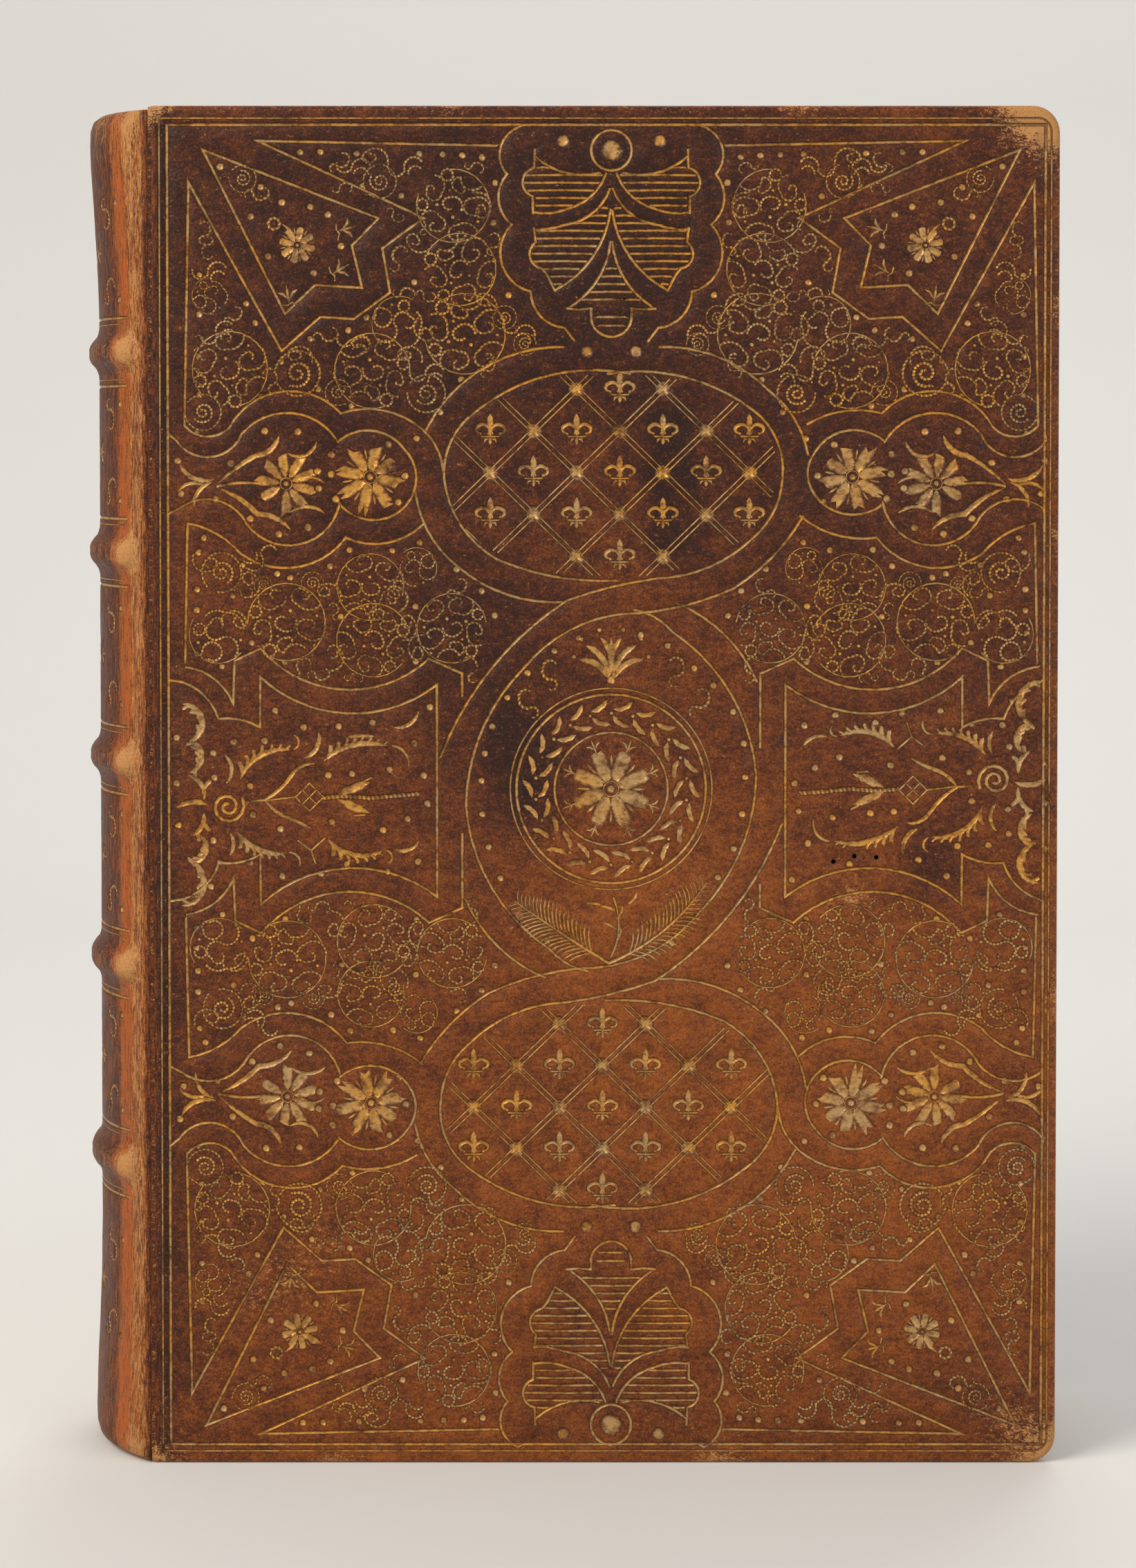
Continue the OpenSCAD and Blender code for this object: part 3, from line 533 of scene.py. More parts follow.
# %% Side panels
def curl_leaf(points, width, lobes, lobe, bend):
    """A leaf with a curved rib and lobes along one side of it. bend is the side, 1 or -1."""
    made = stroke(points, leaf(1.15 * width, 0.5), 0.38)
    edge = [(0, 0), (0.25 * lobe, 0.3 * bend), (0.5 * lobe, 0.8 * bend), (0.68 * lobe, 1.5 * bend),
            (0.7 * lobe, 2.1 * bend)]
    steps = len(points) - 1
    for k in range(lobes):
        t = (k + 0.7) / (lobes + 0.5) * steps
        at = min(int(t), steps - 1)
        (x0, y0), (x1, y1) = points[at], points[at + 1]
        x, y = x0 + (t - at) * (x1 - x0), y0 + (t - at) * (y1 - y0)
        lean = math.degrees(math.atan2(y1 - y0, x1 - x0))
        made += stamp(stroke(edge, leaf(0.72, 0.6), 0.34), x, y, lean, 1.12 - 0.08 * k)
    return made


side = stroke(spiral(98.9, -4.1, 0.6, 4.4, 1.9, 2.6), 0.62, 0.35)
for stops in [((94.8, -2.8), (89.3, -2.4), ((85.0, 0.8), (82.2, 4.2)), ((79.4, 6.6), (76.3, 7.0))),
              ((89.3, -2.4), ((85.4, -6.0), (82.3, -7.3)), ((79.8, -8.4), (77.3, -9.8)))]:
    side += stroke(path(*stops), leaf(0.75, 0.4), 0.35)
side += stroke([(74.3, -1.8), (68, -1.4), (62, -1.9), (56, -1.3), (49.3, -0.8)], 0.5, 0.3, ROPE)
for rib, lobes, lobe, bend, tip, half in [
        (((95.8, 2.7), ((91.6, 8.4), (82.6, 10.6))), 7, 3.2, -1,
         ((82.6, 10.6), (80.6, 12.0), (81.8, 14.4)), 0.5),
        (((74.2, 7.6), ((68.0, 11.4), (57.6, 11.6))), 8, 3.2, -1,
         ((57.6, 11.6), (53.6, 10.4), (52.2, 6.2)), 0.6),
        (((96.6, -10.6), ((90.6, -15.4), (84.0, -16.2))), 7, 3.0, 1,
         ((84.0, -16.2), (80.6, -17.2), (80.4, -19.6)), 0.5),
        (((73.0, -12.6), ((66.6, -16.6), (59.0, -15.6))), 7, 3.0, 1,
         ((59.0, -15.6), (56.6, -16.6), (57.6, -18.8)), 0.5)]:
    side += curl_leaf(path(*rib), 0.9, lobes, lobe, bend) + stroke(arc(*tip, 0.03), leaf(half, 0.5), 0.3)
side += stroke(path((79.2, 8.4), ((76.2, 10.6), (75.4, 15.2))), leaf(0.9, 0.6), 0.35)
for ends in (((57.0, 16.6), (52.0, 17.2), (49.6, 20.6)), ((56.6, -14.8), (52.6, -15.4), (49.6, -13.0)),
             ((100.2, 1.2), (97.8, 5.0), (99.6, 9.2)), ((98.8, -10.2), (97.4, -13.6), (98.4, -16.8)),
             ((69.6, 13.4), (65.0, 14.2), (61.0, 14.0))):
    side += stroke(arc(*ends, 0.03), leaf(0.75, 0.6), 0.32)
side += stroke([(80.8, -12.8), (77.4, -15.4), (73.8, -12.2)], 0.34)
side += stroke([(77.4, -15.4), (76.2, -19.0)], 0.4)
# a lozenge crossed by two lines
side += stroke([(81.4, -1.6), (77.8, 2.0), (74.2, -1.6), (77.8, -5.2)], 0.32, 0.28, closed=True)
side += stroke([(79.6, 0.2), (76.0, -3.4)], 0.28, 0.25) + stroke([(76.0, 0.2), (79.6, -3.4)], 0.28, 0.25)
side += stroke([(88.0, -2.4), (84.8, -2.0), (81.6, -1.6)], 0.4, 0.3)
for stops in (((70.6, -1.4), ((67.0, 0.4), (62.2, 2.2))), ((70.6, -2.2), ((67.0, -3.8), (62.2, -5.8)))):
    side += stroke(path(*stops), leaf(1.5, 0.6), 0.38)
side += stroke([(63.4, 2.6), (61.8, 3.4)], 0.4) + stroke([(63.4, -6.2), (66.0, -6.4)], 0.4)
# a wave of leaves along the outer edge
side += stroke(path((112.2, -4.4), ((108.0, -2.9), (104.0, -3.6))), leaf(1.0, 0.6), 0.35)
for rib, width, lobes, lobe, bend in [
        (((105.0, -2.4), ((105.6, 1.6), (109.0, 4.0))), 0.8, 2, 2.6, 1),
        (((108.6, 4.6), ((105.6, 8.0), (108.8, 13.0))), 0.9, 4, 2.8, -1),
        (((108.8, 12.6), ((105.4, 18.0), (110.4, 22.4))), 1.0, 4, 3.0, -1),
        (((105.0, -5.8), ((105.4, -9.0), (108.0, -11.6))), 0.8, 2, 2.6, -1),
        (((106.0, -11.4), ((104.4, -14.8), (108.6, -18.6))), 0.9, 4, 2.8, 1),
        (((109.2, -18.0), ((105.0, -23.6), (110.8, -29.8))), 1.0, 4, 3.0, 1)]:
    side += curl_leaf(path(*rib), width, lobes, lobe, bend)
for x, y in [(112.0, 13.7), (112.0, 1.9), (111.6, -8.8), (102.5, 9.7), (102.3, 3.4), (97.3, 12.7),
             (89.3, 12.9), (86.6, 20.7), (79.3, 16.4), (70.3, 16.6), (61.5, 17.6), (50.8, 12.2),
             (57.1, 5.4), (72.9, 4.0), (66.8, 4.4), (48.3, 3.9), (47.3, -3.3), (52.5, -7.3),
             (58.8, -10.1), (72.0, -8.0), (85.3, -9.8), (92.3, -6.3), (93.0, 1.2), (100.8, -18.3),
             (93.1, -18.6), (84.8, -22.1), (74.8, -21.4), (68.1, -18.9), (57.8, -21.0), (49.8, -18.3),
             (103.3, -24.8), (46.7, 21.6), (102.6, -12.8)]:
    side += stamp(dot, x, y, 0, 1.05)
# the right-hand panel is the left-hand one turned half round, and three wormholes go through it
holes = [(57.4, -18.4), (62.8, -17.0), (68.5, -17.3)]
right = [([(x, -y - 1.4) for x, y in points], *rest) for points, *rest in side]
right = [s for s in right if min(math.dist(hole, p) for hole in holes for p in s[0]) > 2.3]
for hole in holes:
    right += stroke([hole], 1.0, 1.8, LEATHER)
ornament += right + mirrored(side, -1, 1)

# %% [markdown]
# At the head and the tail a shell hangs between the scallops. Its lobes are filled with short bars.

# %% Shells
def bars(outline, pitch, gap):
    """Short horizontal bars that fill an outline."""
    filled = []
    ys = [y for _, y in outline]
    for y in np.arange(max(ys) - 1.0, min(ys) + 0.4, -pitch):
        cuts = sorted(x0 + (y - y0) / (y1 - y0) * (x1 - x0)
                      for (x0, y0), (x1, y1) in zip(outline, outline[1:] + outline[:1])
                      if (y0 > y) != (y1 > y))
        for a, b in zip(cuts[::2], cuts[1::2]):
            if b - a > 2 * gap + 1.2:
                filled += stroke([(a + gap, y), ((a + b) / 2, y + 0.1), (b - gap, y)], 0.46, 0.3)
    return filled


shell = stroke(ring(0, 164.7, 5.2, 24), 0.5, 0.35, closed=True) + stroke([(0, 164.7)], 3.2, 0.45)
upper_edge = path((19.6, 163.2), ((12.0, 159.0), (3.4, 158.8)))
upper_side = path((19.6, 165.0), (19.8, 160.2), ((22.8, 156.4), (20.2, 152.9)), (20.1, 148.4))
upper_foot = path((1.4, 158.6), ((5.6, 152.6), (11.6, 149.6)), ((15.8, 148.6), (19.9, 148.8)))
lower_edge = path((0.4, 154.8), ((4.8, 148.6), (12.0, 145.6)), ((16.0, 144.6), (20.0, 144.4)))
lower_side = path((19.9, 145.0), (19.4, 141.2), ((21.0, 138.2), (17.8, 134.4)), (16.4, 132.6), (14.4, 128.6))
lower_foot = path((0.2, 149.4), ((5.0, 137.0), (14.2, 129.0)))
foot_side = path((0.2, 141.4), ((3.6, 131.4), (10.2, 124.8)))
for side_x in (-1, 1):
    for line in (upper_edge, upper_side, upper_foot, lower_edge, lower_side, lower_foot, foot_side):
        shell += mirrored(stroke(line, 0.5, 0.35), side_x, 1)
    shell += mirrored(bars(upper_edge[::-1] + upper_side[1:-1] + upper_foot[::-1], 1.95, 0.9), side_x, 1)
    shell += mirrored(bars(lower_edge + lower_side[1:-1] + lower_foot[::-1], 1.95, 0.9), side_x, 1)
    shell += mirrored(stroke([(12.4, 167.1)], 1.9, 0.42) + stroke([(6.3, 113.1)], 1.8, 0.42), side_x, 1)
    shell += mirrored(stroke([(11.6, 124.2), (8.2, 123.9), (5.2, 124.2)], 0.5, 0.35), side_x, 1)
shell += bars([(-x, y) for x, y in foot_side[::-1]] + foot_side, 2.0, 0.8)
shell += stroke(path((-5.2, 124.0), (-5.2, 121.6), ((0, 116.9), (5.2, 121.6)), (5.2, 124.0)), 0.5, 0.35)
for reach, y in ((3.6, 122.0), (2.6, 119.8)):
    shell += stroke([(-reach, y), (0, y), (reach, y)], 0.46)
ornament += shell + mirrored(shell, 1, -1)

# %% [markdown]
# The upper and lower ovals hold a lattice of double lines, with a disc on each crossing and a small
# lily in each cell. The lines are cut off where they reach the oval.

# %% Lattices
def inside(point, outline):
    """Whether a point is inside an outline."""
    x, y = point
    crossings = 0
    for (x0, y0), (x1, y1) in zip(outline, outline[1:] + outline[:1]):
        if (y0 > y) != (y1 > y) and x < x0 + (y - y0) / (y1 - y0) * (x1 - x0):
            crossings += 1
    return crossings % 2 == 1


def oval(grow):
    """The inside of the upper oval, made smaller by a margin."""
    stops = path((0, 107.4), ((23.0, 105.0), (36.2, 98)), ((42.4, 89.3), (43.2, 80.6)),
                 ((40.4, 71.6), (34.4, 64.4)), ((21, 57.4), (2, 54.6)), ((-17, 56.4), (-31, 61.4)),
                 ((-40.0, 70), (-42.8, 80.6)), ((-41.4, 89.2), (-34.4, 98)), ((-20.4, 105.4), (0, 107.4)))
    return [(x * (1 - grow / 43), 81 + (y - 81) * (1 - grow / 26.5)) for x, y in stops]


lattice, lilies = [], []
pitch_x, pitch_y, middle_x, middle_y = 11.1, 10.75, 2.2, 82.0
oval_edge, disc_edge, lily_edge = oval(0.6), oval(1.0), oval(3.6)
for i in range(-5, 6):
    for j in range(-4, 5):
        x, y = middle_x + pitch_x * i, middle_y + pitch_y * j
        if (i + j) % 2 == 0:
            if inside((x, y), lily_edge):
                lilies.append((x, y))
            continue
        if inside((x, y), disc_edge):
            lattice += stroke([(x, y)], 2.35, 0.45)
        for step_x in (-1, 1):                       # two lines from this disc up to the next ones
            length = math.hypot(pitch_x, pitch_y)
            along = (step_x * pitch_x / length, pitch_y / length)
            for off in (-0.62, 0.62):
                run = [(x + along[0] * d - along[1] * off, y + along[1] * d + along[0] * off)
                       for d in np.arange(0.0, length + 0.1, 0.5)]
                run = [p for p in run if inside(p, oval_edge)]
                if len(run) > 3:
                    lattice += stroke([run[0]] + run[4:-2:4] + [run[-1]], 0.26, 0.2)
ornament += lattice + mirrored(lattice, -1, -1)
for x, y in lilies:
    ornament += stamp(lily, x, y, 0, 0.84) + stamp(lily, -x, -y, 0, 0.84)

# %% [markdown]
# The middle of the cover holds a wreath round a large flower, over two palm leaves that are tied at
# their stems.

# %% Middle
middle = []
wreath_y = 0.5
for r, half in ((14.6, 0.45), (24.4, 0.5), (26.0, 0.3)):
    middle += stroke(ring(0, wreath_y, r, int(r * 3.2)), half, 0.3, closed=True)
for k in range(22):
    a = math.tau * k / 22
    for r, lean in ((17.6, 62), (21.6, 118)):
        middle += stamp(stroke([(-2.6, 0), (-0.9, 0.5), (0.9, 0.6), (2.6, 0)], leaf(0.95, 0.6), 0.35),
                        r * math.cos(a), wreath_y + r * math.sin(a), math.degrees(a) + lean)
    middle += stamp(small_dot, 19.6 * math.cos(a + 0.14), wreath_y + 19.6 * math.sin(a + 0.14), 0, 0.8)
middle += stamp(flower, 0, wreath_y, 10, 1.28)
for k in range(8):
    a = math.tau * (k + 0.5) / 8
    middle += stamp(sprig, 11.6 * math.cos(a), wreath_y + 11.6 * math.sin(a), math.degrees(a) - 90, 0.62)
for side_x, tip in ((-1, (-24.8, -28.6)), (1, (24.6, -23.8))):
    spine_points = path((-0.6, -44.6), ((side_x * 12, -37.4), tip), sag=0.02)
    middle += stroke(spine_points, lambda t: 0.62 - 0.3 * t, 0.35)
    for k in range(4, 23):
        t = k / 23
        at = min(int(t * (len(spine_points) - 1)), len(spine_points) - 2)
        part = t * (len(spine_points) - 1) - at
        (x0, y0), (x1, y1) = spine_points[at], spine_points[at + 1]
        lean = math.degrees(math.atan2(y1 - y0, x1 - x0))
        for away in (-1, 1):
            middle += stamp(stroke([(0, 0), (2.2, 0.25 * away), (4.4, 0.9 * away), (6.6, 2.2 * away)],
                                   leaf(0.4, 0.5), 0.35),
                            x0 + part * (x1 - x0), y0 + part * (y1 - y0), lean + away * 34,
                            (0.5 + 0.62 * math.sin(math.pi * min(1, t + 0.1))))
middle += stroke(path((0, -43.0), ((2.0, -36.0), (0.6, -27.6))), 0.4, 0.3)
for x, y, turn in [(1.4, -39, 50), (1.6, -36, 130), (1.5, -33.4, 45), (1.0, -31, 140), (-2.6, -29.6, 150),
                   (4.4, -29.4, 30)]:
    middle += stamp(leaf_tip, x, y, turn)
for side_x in (-1, 1):                               # a palmette over the wreath
    for lean, length in ((10, 10.5), (34, 10.0), (58, 8.6)):
        a = math.radians(90 - side_x * lean)
        tip = (length * math.cos(a), length * math.sin(a))
        out = (-side_x * 0.16 * tip[1] + 0.62 * tip[0], side_x * 0.16 * tip[0] + 0.62 * tip[1])
        middle += stamp(stroke(path((0, 0), (out, tip)), leaf(1.1, 0.55), 0.36), side_x * 0.9, 29.2)
        middle += stamp(small_dot, side_x * 0.9 + 1.2 * tip[0], 29.2 + 1.2 * tip[1])
middle += stroke([(0, 30.5), (0, 33.0), (0, 36.0), (0, 39.6)], leaf(1.2, 0.6), 0.38)
middle += stamp(dot, 0, 28.6, 0, 1.2)
for x, y in [(-14.6, 36.2), (-8.4, 39.4), (7.6, 40.2), (14.6, 37.4), (21.4, 31.6), (26.4, 27.2),
             (-21.6, 30.4), (-26.8, 24.2), (31.4, 20.4), (-30.6, 16.6), (-32.6, 9.6), (34.2, 12.2),
             (-33.4, 2.6), (34.6, 3.6), (-33.2, -6.0), (33.8, -6.0), (-31.6, -14.6), (31.6, -15.0),
             (-16.4, -38.8), (15.6, -39.4), (27.6, -22.4), (-28.6, -22.6)]:
    middle += stamp(dot, x, y)
for x, y, turn, flip in [(-16.0, 31.0, 20, 1), (17.0, 31.8, -20, -1), (-22.0, 23.4, 40, 1),
                         (23.4, 23.6, -40, -1)]:
    middle += stamp(hook, x, y, turn, 1.1, flip)
ornament += middle
design = strapwork + ornament
print("the design:", len(design), "strokes with", sum(len(s[0]) for s in design), "stations")

# %% [markdown]
# A stroke becomes a small V-shaped furrow: two edges and a sunk middle line. The finest strokes have no
# middle line, and get their hollow from the material. All furrows are drawn on the flat cover and joined
# into one sheet by a Delaunay triangulation, which keeps every edge that it is given and splits strokes
# where they cross. Depths, materials and pattern coordinates follow from how far each point is from the
# nearest stroke.

# %% Furrows
SUNK_WIDTH = 0.39              # half width in millimetres from which a stroke gets a middle line


def stations(stroke_points, half, closed, step=2.4):
    """A stroke's points and half widths as arrays, with long stretches divided."""
    points = np.array(stroke_points, dtype=float)
    count = len(points)
    if callable(half):
        widths = np.array([half(k / (count - 1)) for k in range(count)])
    else:
        widths = np.full(count, float(half))
    if closed:
        points, widths = np.vstack([points, points[:1]]), np.append(widths, widths[0])
    parts = np.maximum(1, np.ceil(np.linalg.norm(np.diff(points, axis=0), axis=1) / step)).astype(int)
    where = np.concatenate([k + np.arange(n) / n for k, n in enumerate(parts)] + [[len(points) - 1.0]])
    base = np.arange(len(points))
    fine = np.column_stack([np.interp(where, base, points[:, 0]), np.interp(where, base, points[:, 1])])
    return fine, np.interp(where, base, widths)


def furrow(points, widths, closed, sunk):
    """The outline points and edges of one stroke, as lists. A sunk one has a middle line of its own."""
    if closed:
        points, widths = points[:-1], widths[:-1]
    count = len(points)
    ahead, behind = np.roll(points, -1, axis=0), np.roll(points, 1, axis=0)
    if not closed:
        ahead[-1], behind[0] = points[-1], points[0]
    into, out = points - behind, ahead - points
    if not closed:
        into[0], out[-1] = out[0], into[-1]
    into /= np.linalg.norm(into, axis=1)[:, None]
    out /= np.linalg.norm(out, axis=1)[:, None]
    normal = np.column_stack([-(into + out)[:, 1], (into + out)[:, 0]])
    normal /= np.maximum(np.linalg.norm(normal, axis=1), 1e-6)[:, None]
    slant = np.abs(normal[:, 0] * -into[:, 1] + normal[:, 1] * into[:, 0])
    reach = widths / np.maximum(slant, 0.45)
    verts, edges, sides = [], [], []
    for k in range(count):
        first = len(verts)
        if reach[k] < 0.03:
            verts.append(points[k])
            sides.append((first, first, first))
            continue
        verts.append(points[k] + normal[k] * reach[k])
        verts.append(points[k] - normal[k] * reach[k])
        if sunk:
            verts.append(points[k])
        sides.append((first, first + 1, first + 2 if sunk else first))
    for k in range(count if closed else count - 1):
        a, b = sides[k], sides[(k + 1) % count]
        edges += list({(a[i], b[i]) for i in range(3)})
    if not closed:
        for end in (sides[0], sides[-1]):
            edges += list({tuple(sorted(pair)) for pair in (end[:2], end[1:]) if pair[0] != pair[1]})
    return verts, edges


# %% [markdown]
# The sheet itself. Between the furrows it is filled with loose points in rows, so that the leather
# there can be uneven.

# %% The tooled sheet
DOT_SIDES = 9


def point_tree(cloud):
    """A search tree of points in a plane."""
    tree = mathutils.kdtree.KDTree(len(cloud))
    for k, (x, y) in enumerate(cloud):
        tree.insert((x, y, 0), k)
    tree.balance()
    return tree


def tooled_sheet(strokes, outline, spacing, jitter_seed=7):
    """Triangulates strokes inside an outline. Gives points, triangles, depths, kinds and corner UVs."""
    rng = np.random.default_rng(jitter_seed)
    verts, edges, segments = [np.array(p) for p in outline], [], []
    edges += [(k, (k + 1) % len(outline)) for k in range(len(outline))]
    for points, half, depth, kind, closed in strokes:
        if len(points) == 1:
            r = float(half)
            around = [np.array([points[0][0] + r * math.cos(a), points[0][1] + r * math.sin(a)])
                      for a in np.arange(DOT_SIDES) * math.tau / DOT_SIDES]
            first = len(verts)
            verts += around + [np.array(points[0])]
            edges += [(first + k, first + (k + 1) % DOT_SIDES) for k in range(DOT_SIDES)]
            segments.append((*points[0], *points[0], r, r, depth, kind, 0.0))
            continue
        fine, widths = stations(points, half, closed)
        sunk = widths.max() > SUNK_WIDTH
        widths = widths * SPREAD[kind]
        new_verts, new_edges = furrow(fine, widths, closed, sunk)
        edges += [(a + len(verts), b + len(verts)) for a, b in new_edges]
        verts += new_verts
        run = 0.0
        for k in range(len(fine) - 1):
            segments.append((*fine[k], *fine[k + 1], widths[k], widths[k + 1], depth, kind, run))
            run += float(np.linalg.norm(fine[k + 1] - fine[k]))
    segments = np.array(segments)

    # free points on a loose grid, kept clear of the strokes
    low, high = np.min(outline, axis=0) + spacing / 2, np.max(outline, axis=0) - spacing / 2
    free = [(x + (spacing / 2 if row % 2 else 0), y)
            for row, y in enumerate(np.arange(low[1], high[1], spacing * 0.87))
            for x in np.arange(low[0], high[0] - spacing / 2, spacing)]
    free = np.array(free) + rng.uniform(-0.22, 0.22, (len(free), 2)) * spacing
    taken = point_tree(verts)
    free = [p for p in free if taken.find((p[0], p[1], 0))[2] > 0.45 * spacing]
    points, _, faces, _, _, _ = geometry.delaunay_2d_cdt(
        [Vector((p[0], p[1])) for p in verts + free], edges, [], 0, 1e-4, False)
    points = np.array([(p.x, p.y) for p in points])
    faces = np.array([f for f in faces if len(f) == 3])
    return points, faces, *measure(points, faces, segments)


def measure(points, faces, segments):
    """How deep each point is, and the stroke under each triangle with its pattern coordinates.

    A segment's row has its two ends, two half widths, the depth, the kind and the run before it.
    """
    depth = np.zeros(len(points))
    middles = points[faces].mean(axis=1)
    best = np.full(len(faces), 1.0)
    owner = np.full(len(faces), -1)
    point_search, middle_search = point_tree(points), point_tree(middles)

    def ratio(near, s):
        """How far points are from a segment, as a share of its half width there."""
        a, b = s[0:2], s[2:4]
        length2 = max(float((b - a) @ (b - a)), 1e-9)
        t = np.clip(((near - a) @ (b - a)) / length2, 0, 1)
        away = np.linalg.norm(near - (a + t[:, None] * (b - a)), axis=1)
        return away / np.maximum(s[4] + t * (s[5] - s[4]), 1e-3)

    for n, s in enumerate(segments):
        centre = ((s[0] + s[2]) / 2, (s[1] + s[3]) / 2, 0)
        reach = math.hypot(s[2] - s[0], s[3] - s[1]) / 2 + max(s[4], s[5]) * 1.05 + 0.02
        near = np.array([hit[1] for hit in point_search.find_range(centre, reach)], dtype=int)
        if len(near):
            depth[near] = np.maximum(depth[near], s[6] * np.clip(1 - ratio(points[near], s), 0, 1))
        near = np.array([hit[1] for hit in middle_search.find_range(centre, reach)], dtype=int)
        if len(near):
            r = ratio(middles[near], s)
            better = r < best[near]
            best[near[better]], owner[near[better]] = r[better], n
    kinds = np.where(owner >= 0, segments[owner, 7].astype(int), LEATHER)
    s = segments[owner]
    along = s[:, 2:4] - s[:, 0:2]
    length = np.linalg.norm(along, axis=1)
    is_dot = length < 1e-6
    unit = along / np.maximum(length, 1e-6)[:, None]
    corner_uv = np.zeros((len(faces), 3, 2))
    for c in range(3):
        away = points[faces[:, c]] - s[:, 0:2]
        u = s[:, 8] + (away * unit).sum(axis=1)
        v = (away[:, 1] * unit[:, 0] - away[:, 0] * unit[:, 1]) / np.maximum(s[:, 4:6].max(axis=1), 0.1)
        corner_uv[:, c, 0] = np.where(is_dot, 0.0, u)
        corner_uv[:, c, 1] = np.where(is_dot, np.linalg.norm(away, axis=1) / np.maximum(s[:, 4], 0.1), v)
    corner_uv[owner < 0] = 0
    return depth, kinds, corner_uv


# %% [markdown]
# The cover's outline, with rounded corners, is the sheet's edge. The tooling ends a little inside it.

# %% The front cover's sheet
SPINE_SIDE, BOARD_SIDE, FORE_EDGE, TALL = -107.25, -106.05, 126.85, 351.0
FACE_Y, EDGE_R, CORNER_R = 32.0, 1.6, 7
UNDERSIDE_Y, INNER_Y, TURNED_IN_Y = 31.1, 27.5, 26.9
TURN_IN, EDGE_SKIN = 18.0, 0.9
DESIGN_MIDDLE = (11.6, 174.8)


def rim_loop(inset, steps=9, spacing=3.2):
    """Points round head, fore-edge and tail at an inset, from the spine's tail end to its head end."""
    r, corner_r = max(CORNER_R - inset, 0.4), max(CORNER_R, inset + 0.4)
    x_end, x_start = FORE_EDGE - corner_r, SPINE_SIDE
    low, high = corner_r, TALL - corner_r
    x_steps = math.ceil((FORE_EDGE - CORNER_R - x_start) / spacing)
    z_steps = math.ceil((TALL - 2 * CORNER_R) / spacing)
    loop = [(x_start + (x_end - x_start) * k / x_steps, inset) for k in range(x_steps)]
    loop += [(x_end + r * math.sin(a), low - r * math.cos(a)) for a in np.linspace(0, math.pi / 2, steps)]
    loop += [(FORE_EDGE - inset, low + (high - low) * k / z_steps) for k in range(1, z_steps)]
    loop += [(x_end + r * math.cos(a), high + r * math.sin(a)) for a in np.linspace(0, math.pi / 2, steps)]
    loop += [(x_end + (x_start - x_end) * k / x_steps, TALL - inset) for k in range(1, x_steps + 1)]
    return loop


outline = rim_loop(EDGE_R)
spine_side_z = np.linspace(TALL - EDGE_R, EDGE_R, 120)[1:-1]
rim_count = len(outline)
outline += [(SPINE_SIDE, z) for z in spine_side_z]
placed = stamp(design, *DESIGN_MIDDLE)
sheet_points, sheet_faces, sheet_depth, sheet_kinds, sheet_uv = tooled_sheet(placed, outline, 3.6)
print("the sheet:", len(sheet_points), "points and", len(sheet_faces), "triangles,", (sheet_kinds > 0).sum(),
      "of them tooled")

# %% [markdown]
# ## Leather, gold and wear
#
# The covers are brown calf with a fine grain. Handling has rubbed the edges and corners down to the
# tan underside, and left the face dark and slightly glossy. Two attributes say how worn and how light
# each point of a piece is, so the same leather can follow the marks of this book.

# %% Wear and tone
# a mark is x, z, radius in millimetres and strength, seen from the front
worn_marks = [(128, 353, 12, 1.1), (121, 350, 9, 0.45), (128, -2, 12, 0.9), (-108, 353, 6, 0.6),
              (-109, -2, 8, 0.6), (127, 240, 4, 0.3), (127, 120, 5, 0.35), (60, 352, 5, 0.3),
              (-30, 352, 4, 0.3), (127, 300, 4, 0.3), (-70, 50, 9, 0.22), (-60, 60, 6, 0.2),
              (-82, 44, 7, 0.2), (40, -1, 6, 0.5), (-60, -1, 5, 0.4), (114, 12, 7, 0.25),
              (-12, 142, 3, 0.3), (74, 148, 4, 0.4)]
light_marks = [(20, 60, 110, 0.24), (60, 140, 60, 0.13), (10, 140, 35, 0.10), (-50, 10, 70, 0.12),
               (95, 60, 50, 0.14), (-100, 235, 16, 0.16), (-105, 260, 14, 0.12), (110, 130, 26, 0.12),
               (20, 228, 26, 0.12), (-80, 160, 40, 0.08)]
dark_marks = [(27, 240, 6, 0.5), (28, 255, 6, 0.5), (26, 268, 6, 0.3), (-12, 186, 10, 0.4),
              (-10, 172, 9, 0.3), (-20, 210, 20, 0.2), (60, 262, 36, 0.1), (-60, 300, 60, 0.12),
              (0, 345, 60, 0.1), (94, 155, 8, 0.3), (12, 315, 30, 0.13), (12, 32, 28, 0.14)]


def soft_blob(x, z, marks):
    """The sum of soft round marks at a place."""
    return sum(s * math.exp(-((x - mx) ** 2 + (z - mz) ** 2) / (r * r)) for mx, mz, r, s in marks)


def cover_marks(x, y, z):
    """Wear and tone of a cover at a place in millimetres."""
    to_edge = min(FORE_EDGE - x, TALL - z, z)
    rough = 0.5 + 0.5 * noise.noise(Vector((x / 9, z / 9, 3)))
    wear = soft_blob(x, z, worn_marks) + 0.24 * math.exp(-max(to_edge, 0) / 1.2) * (0.3 + rough)
    wear += 0.2 * math.exp(-max(x - SPINE_SIDE, 0) / 2.0) * (0.3 + rough)
    tone = 0.26 + soft_blob(x, z, light_marks) - soft_blob(x, z, dark_marks)
    tone += 0.24 * math.exp(-max(to_edge, 0) / 1.8) - 0.25 * math.exp(-((x + 103.5) / 2.4) ** 2)
    return min(max(wear, 0), 1), min(max(tone, 0), 1)


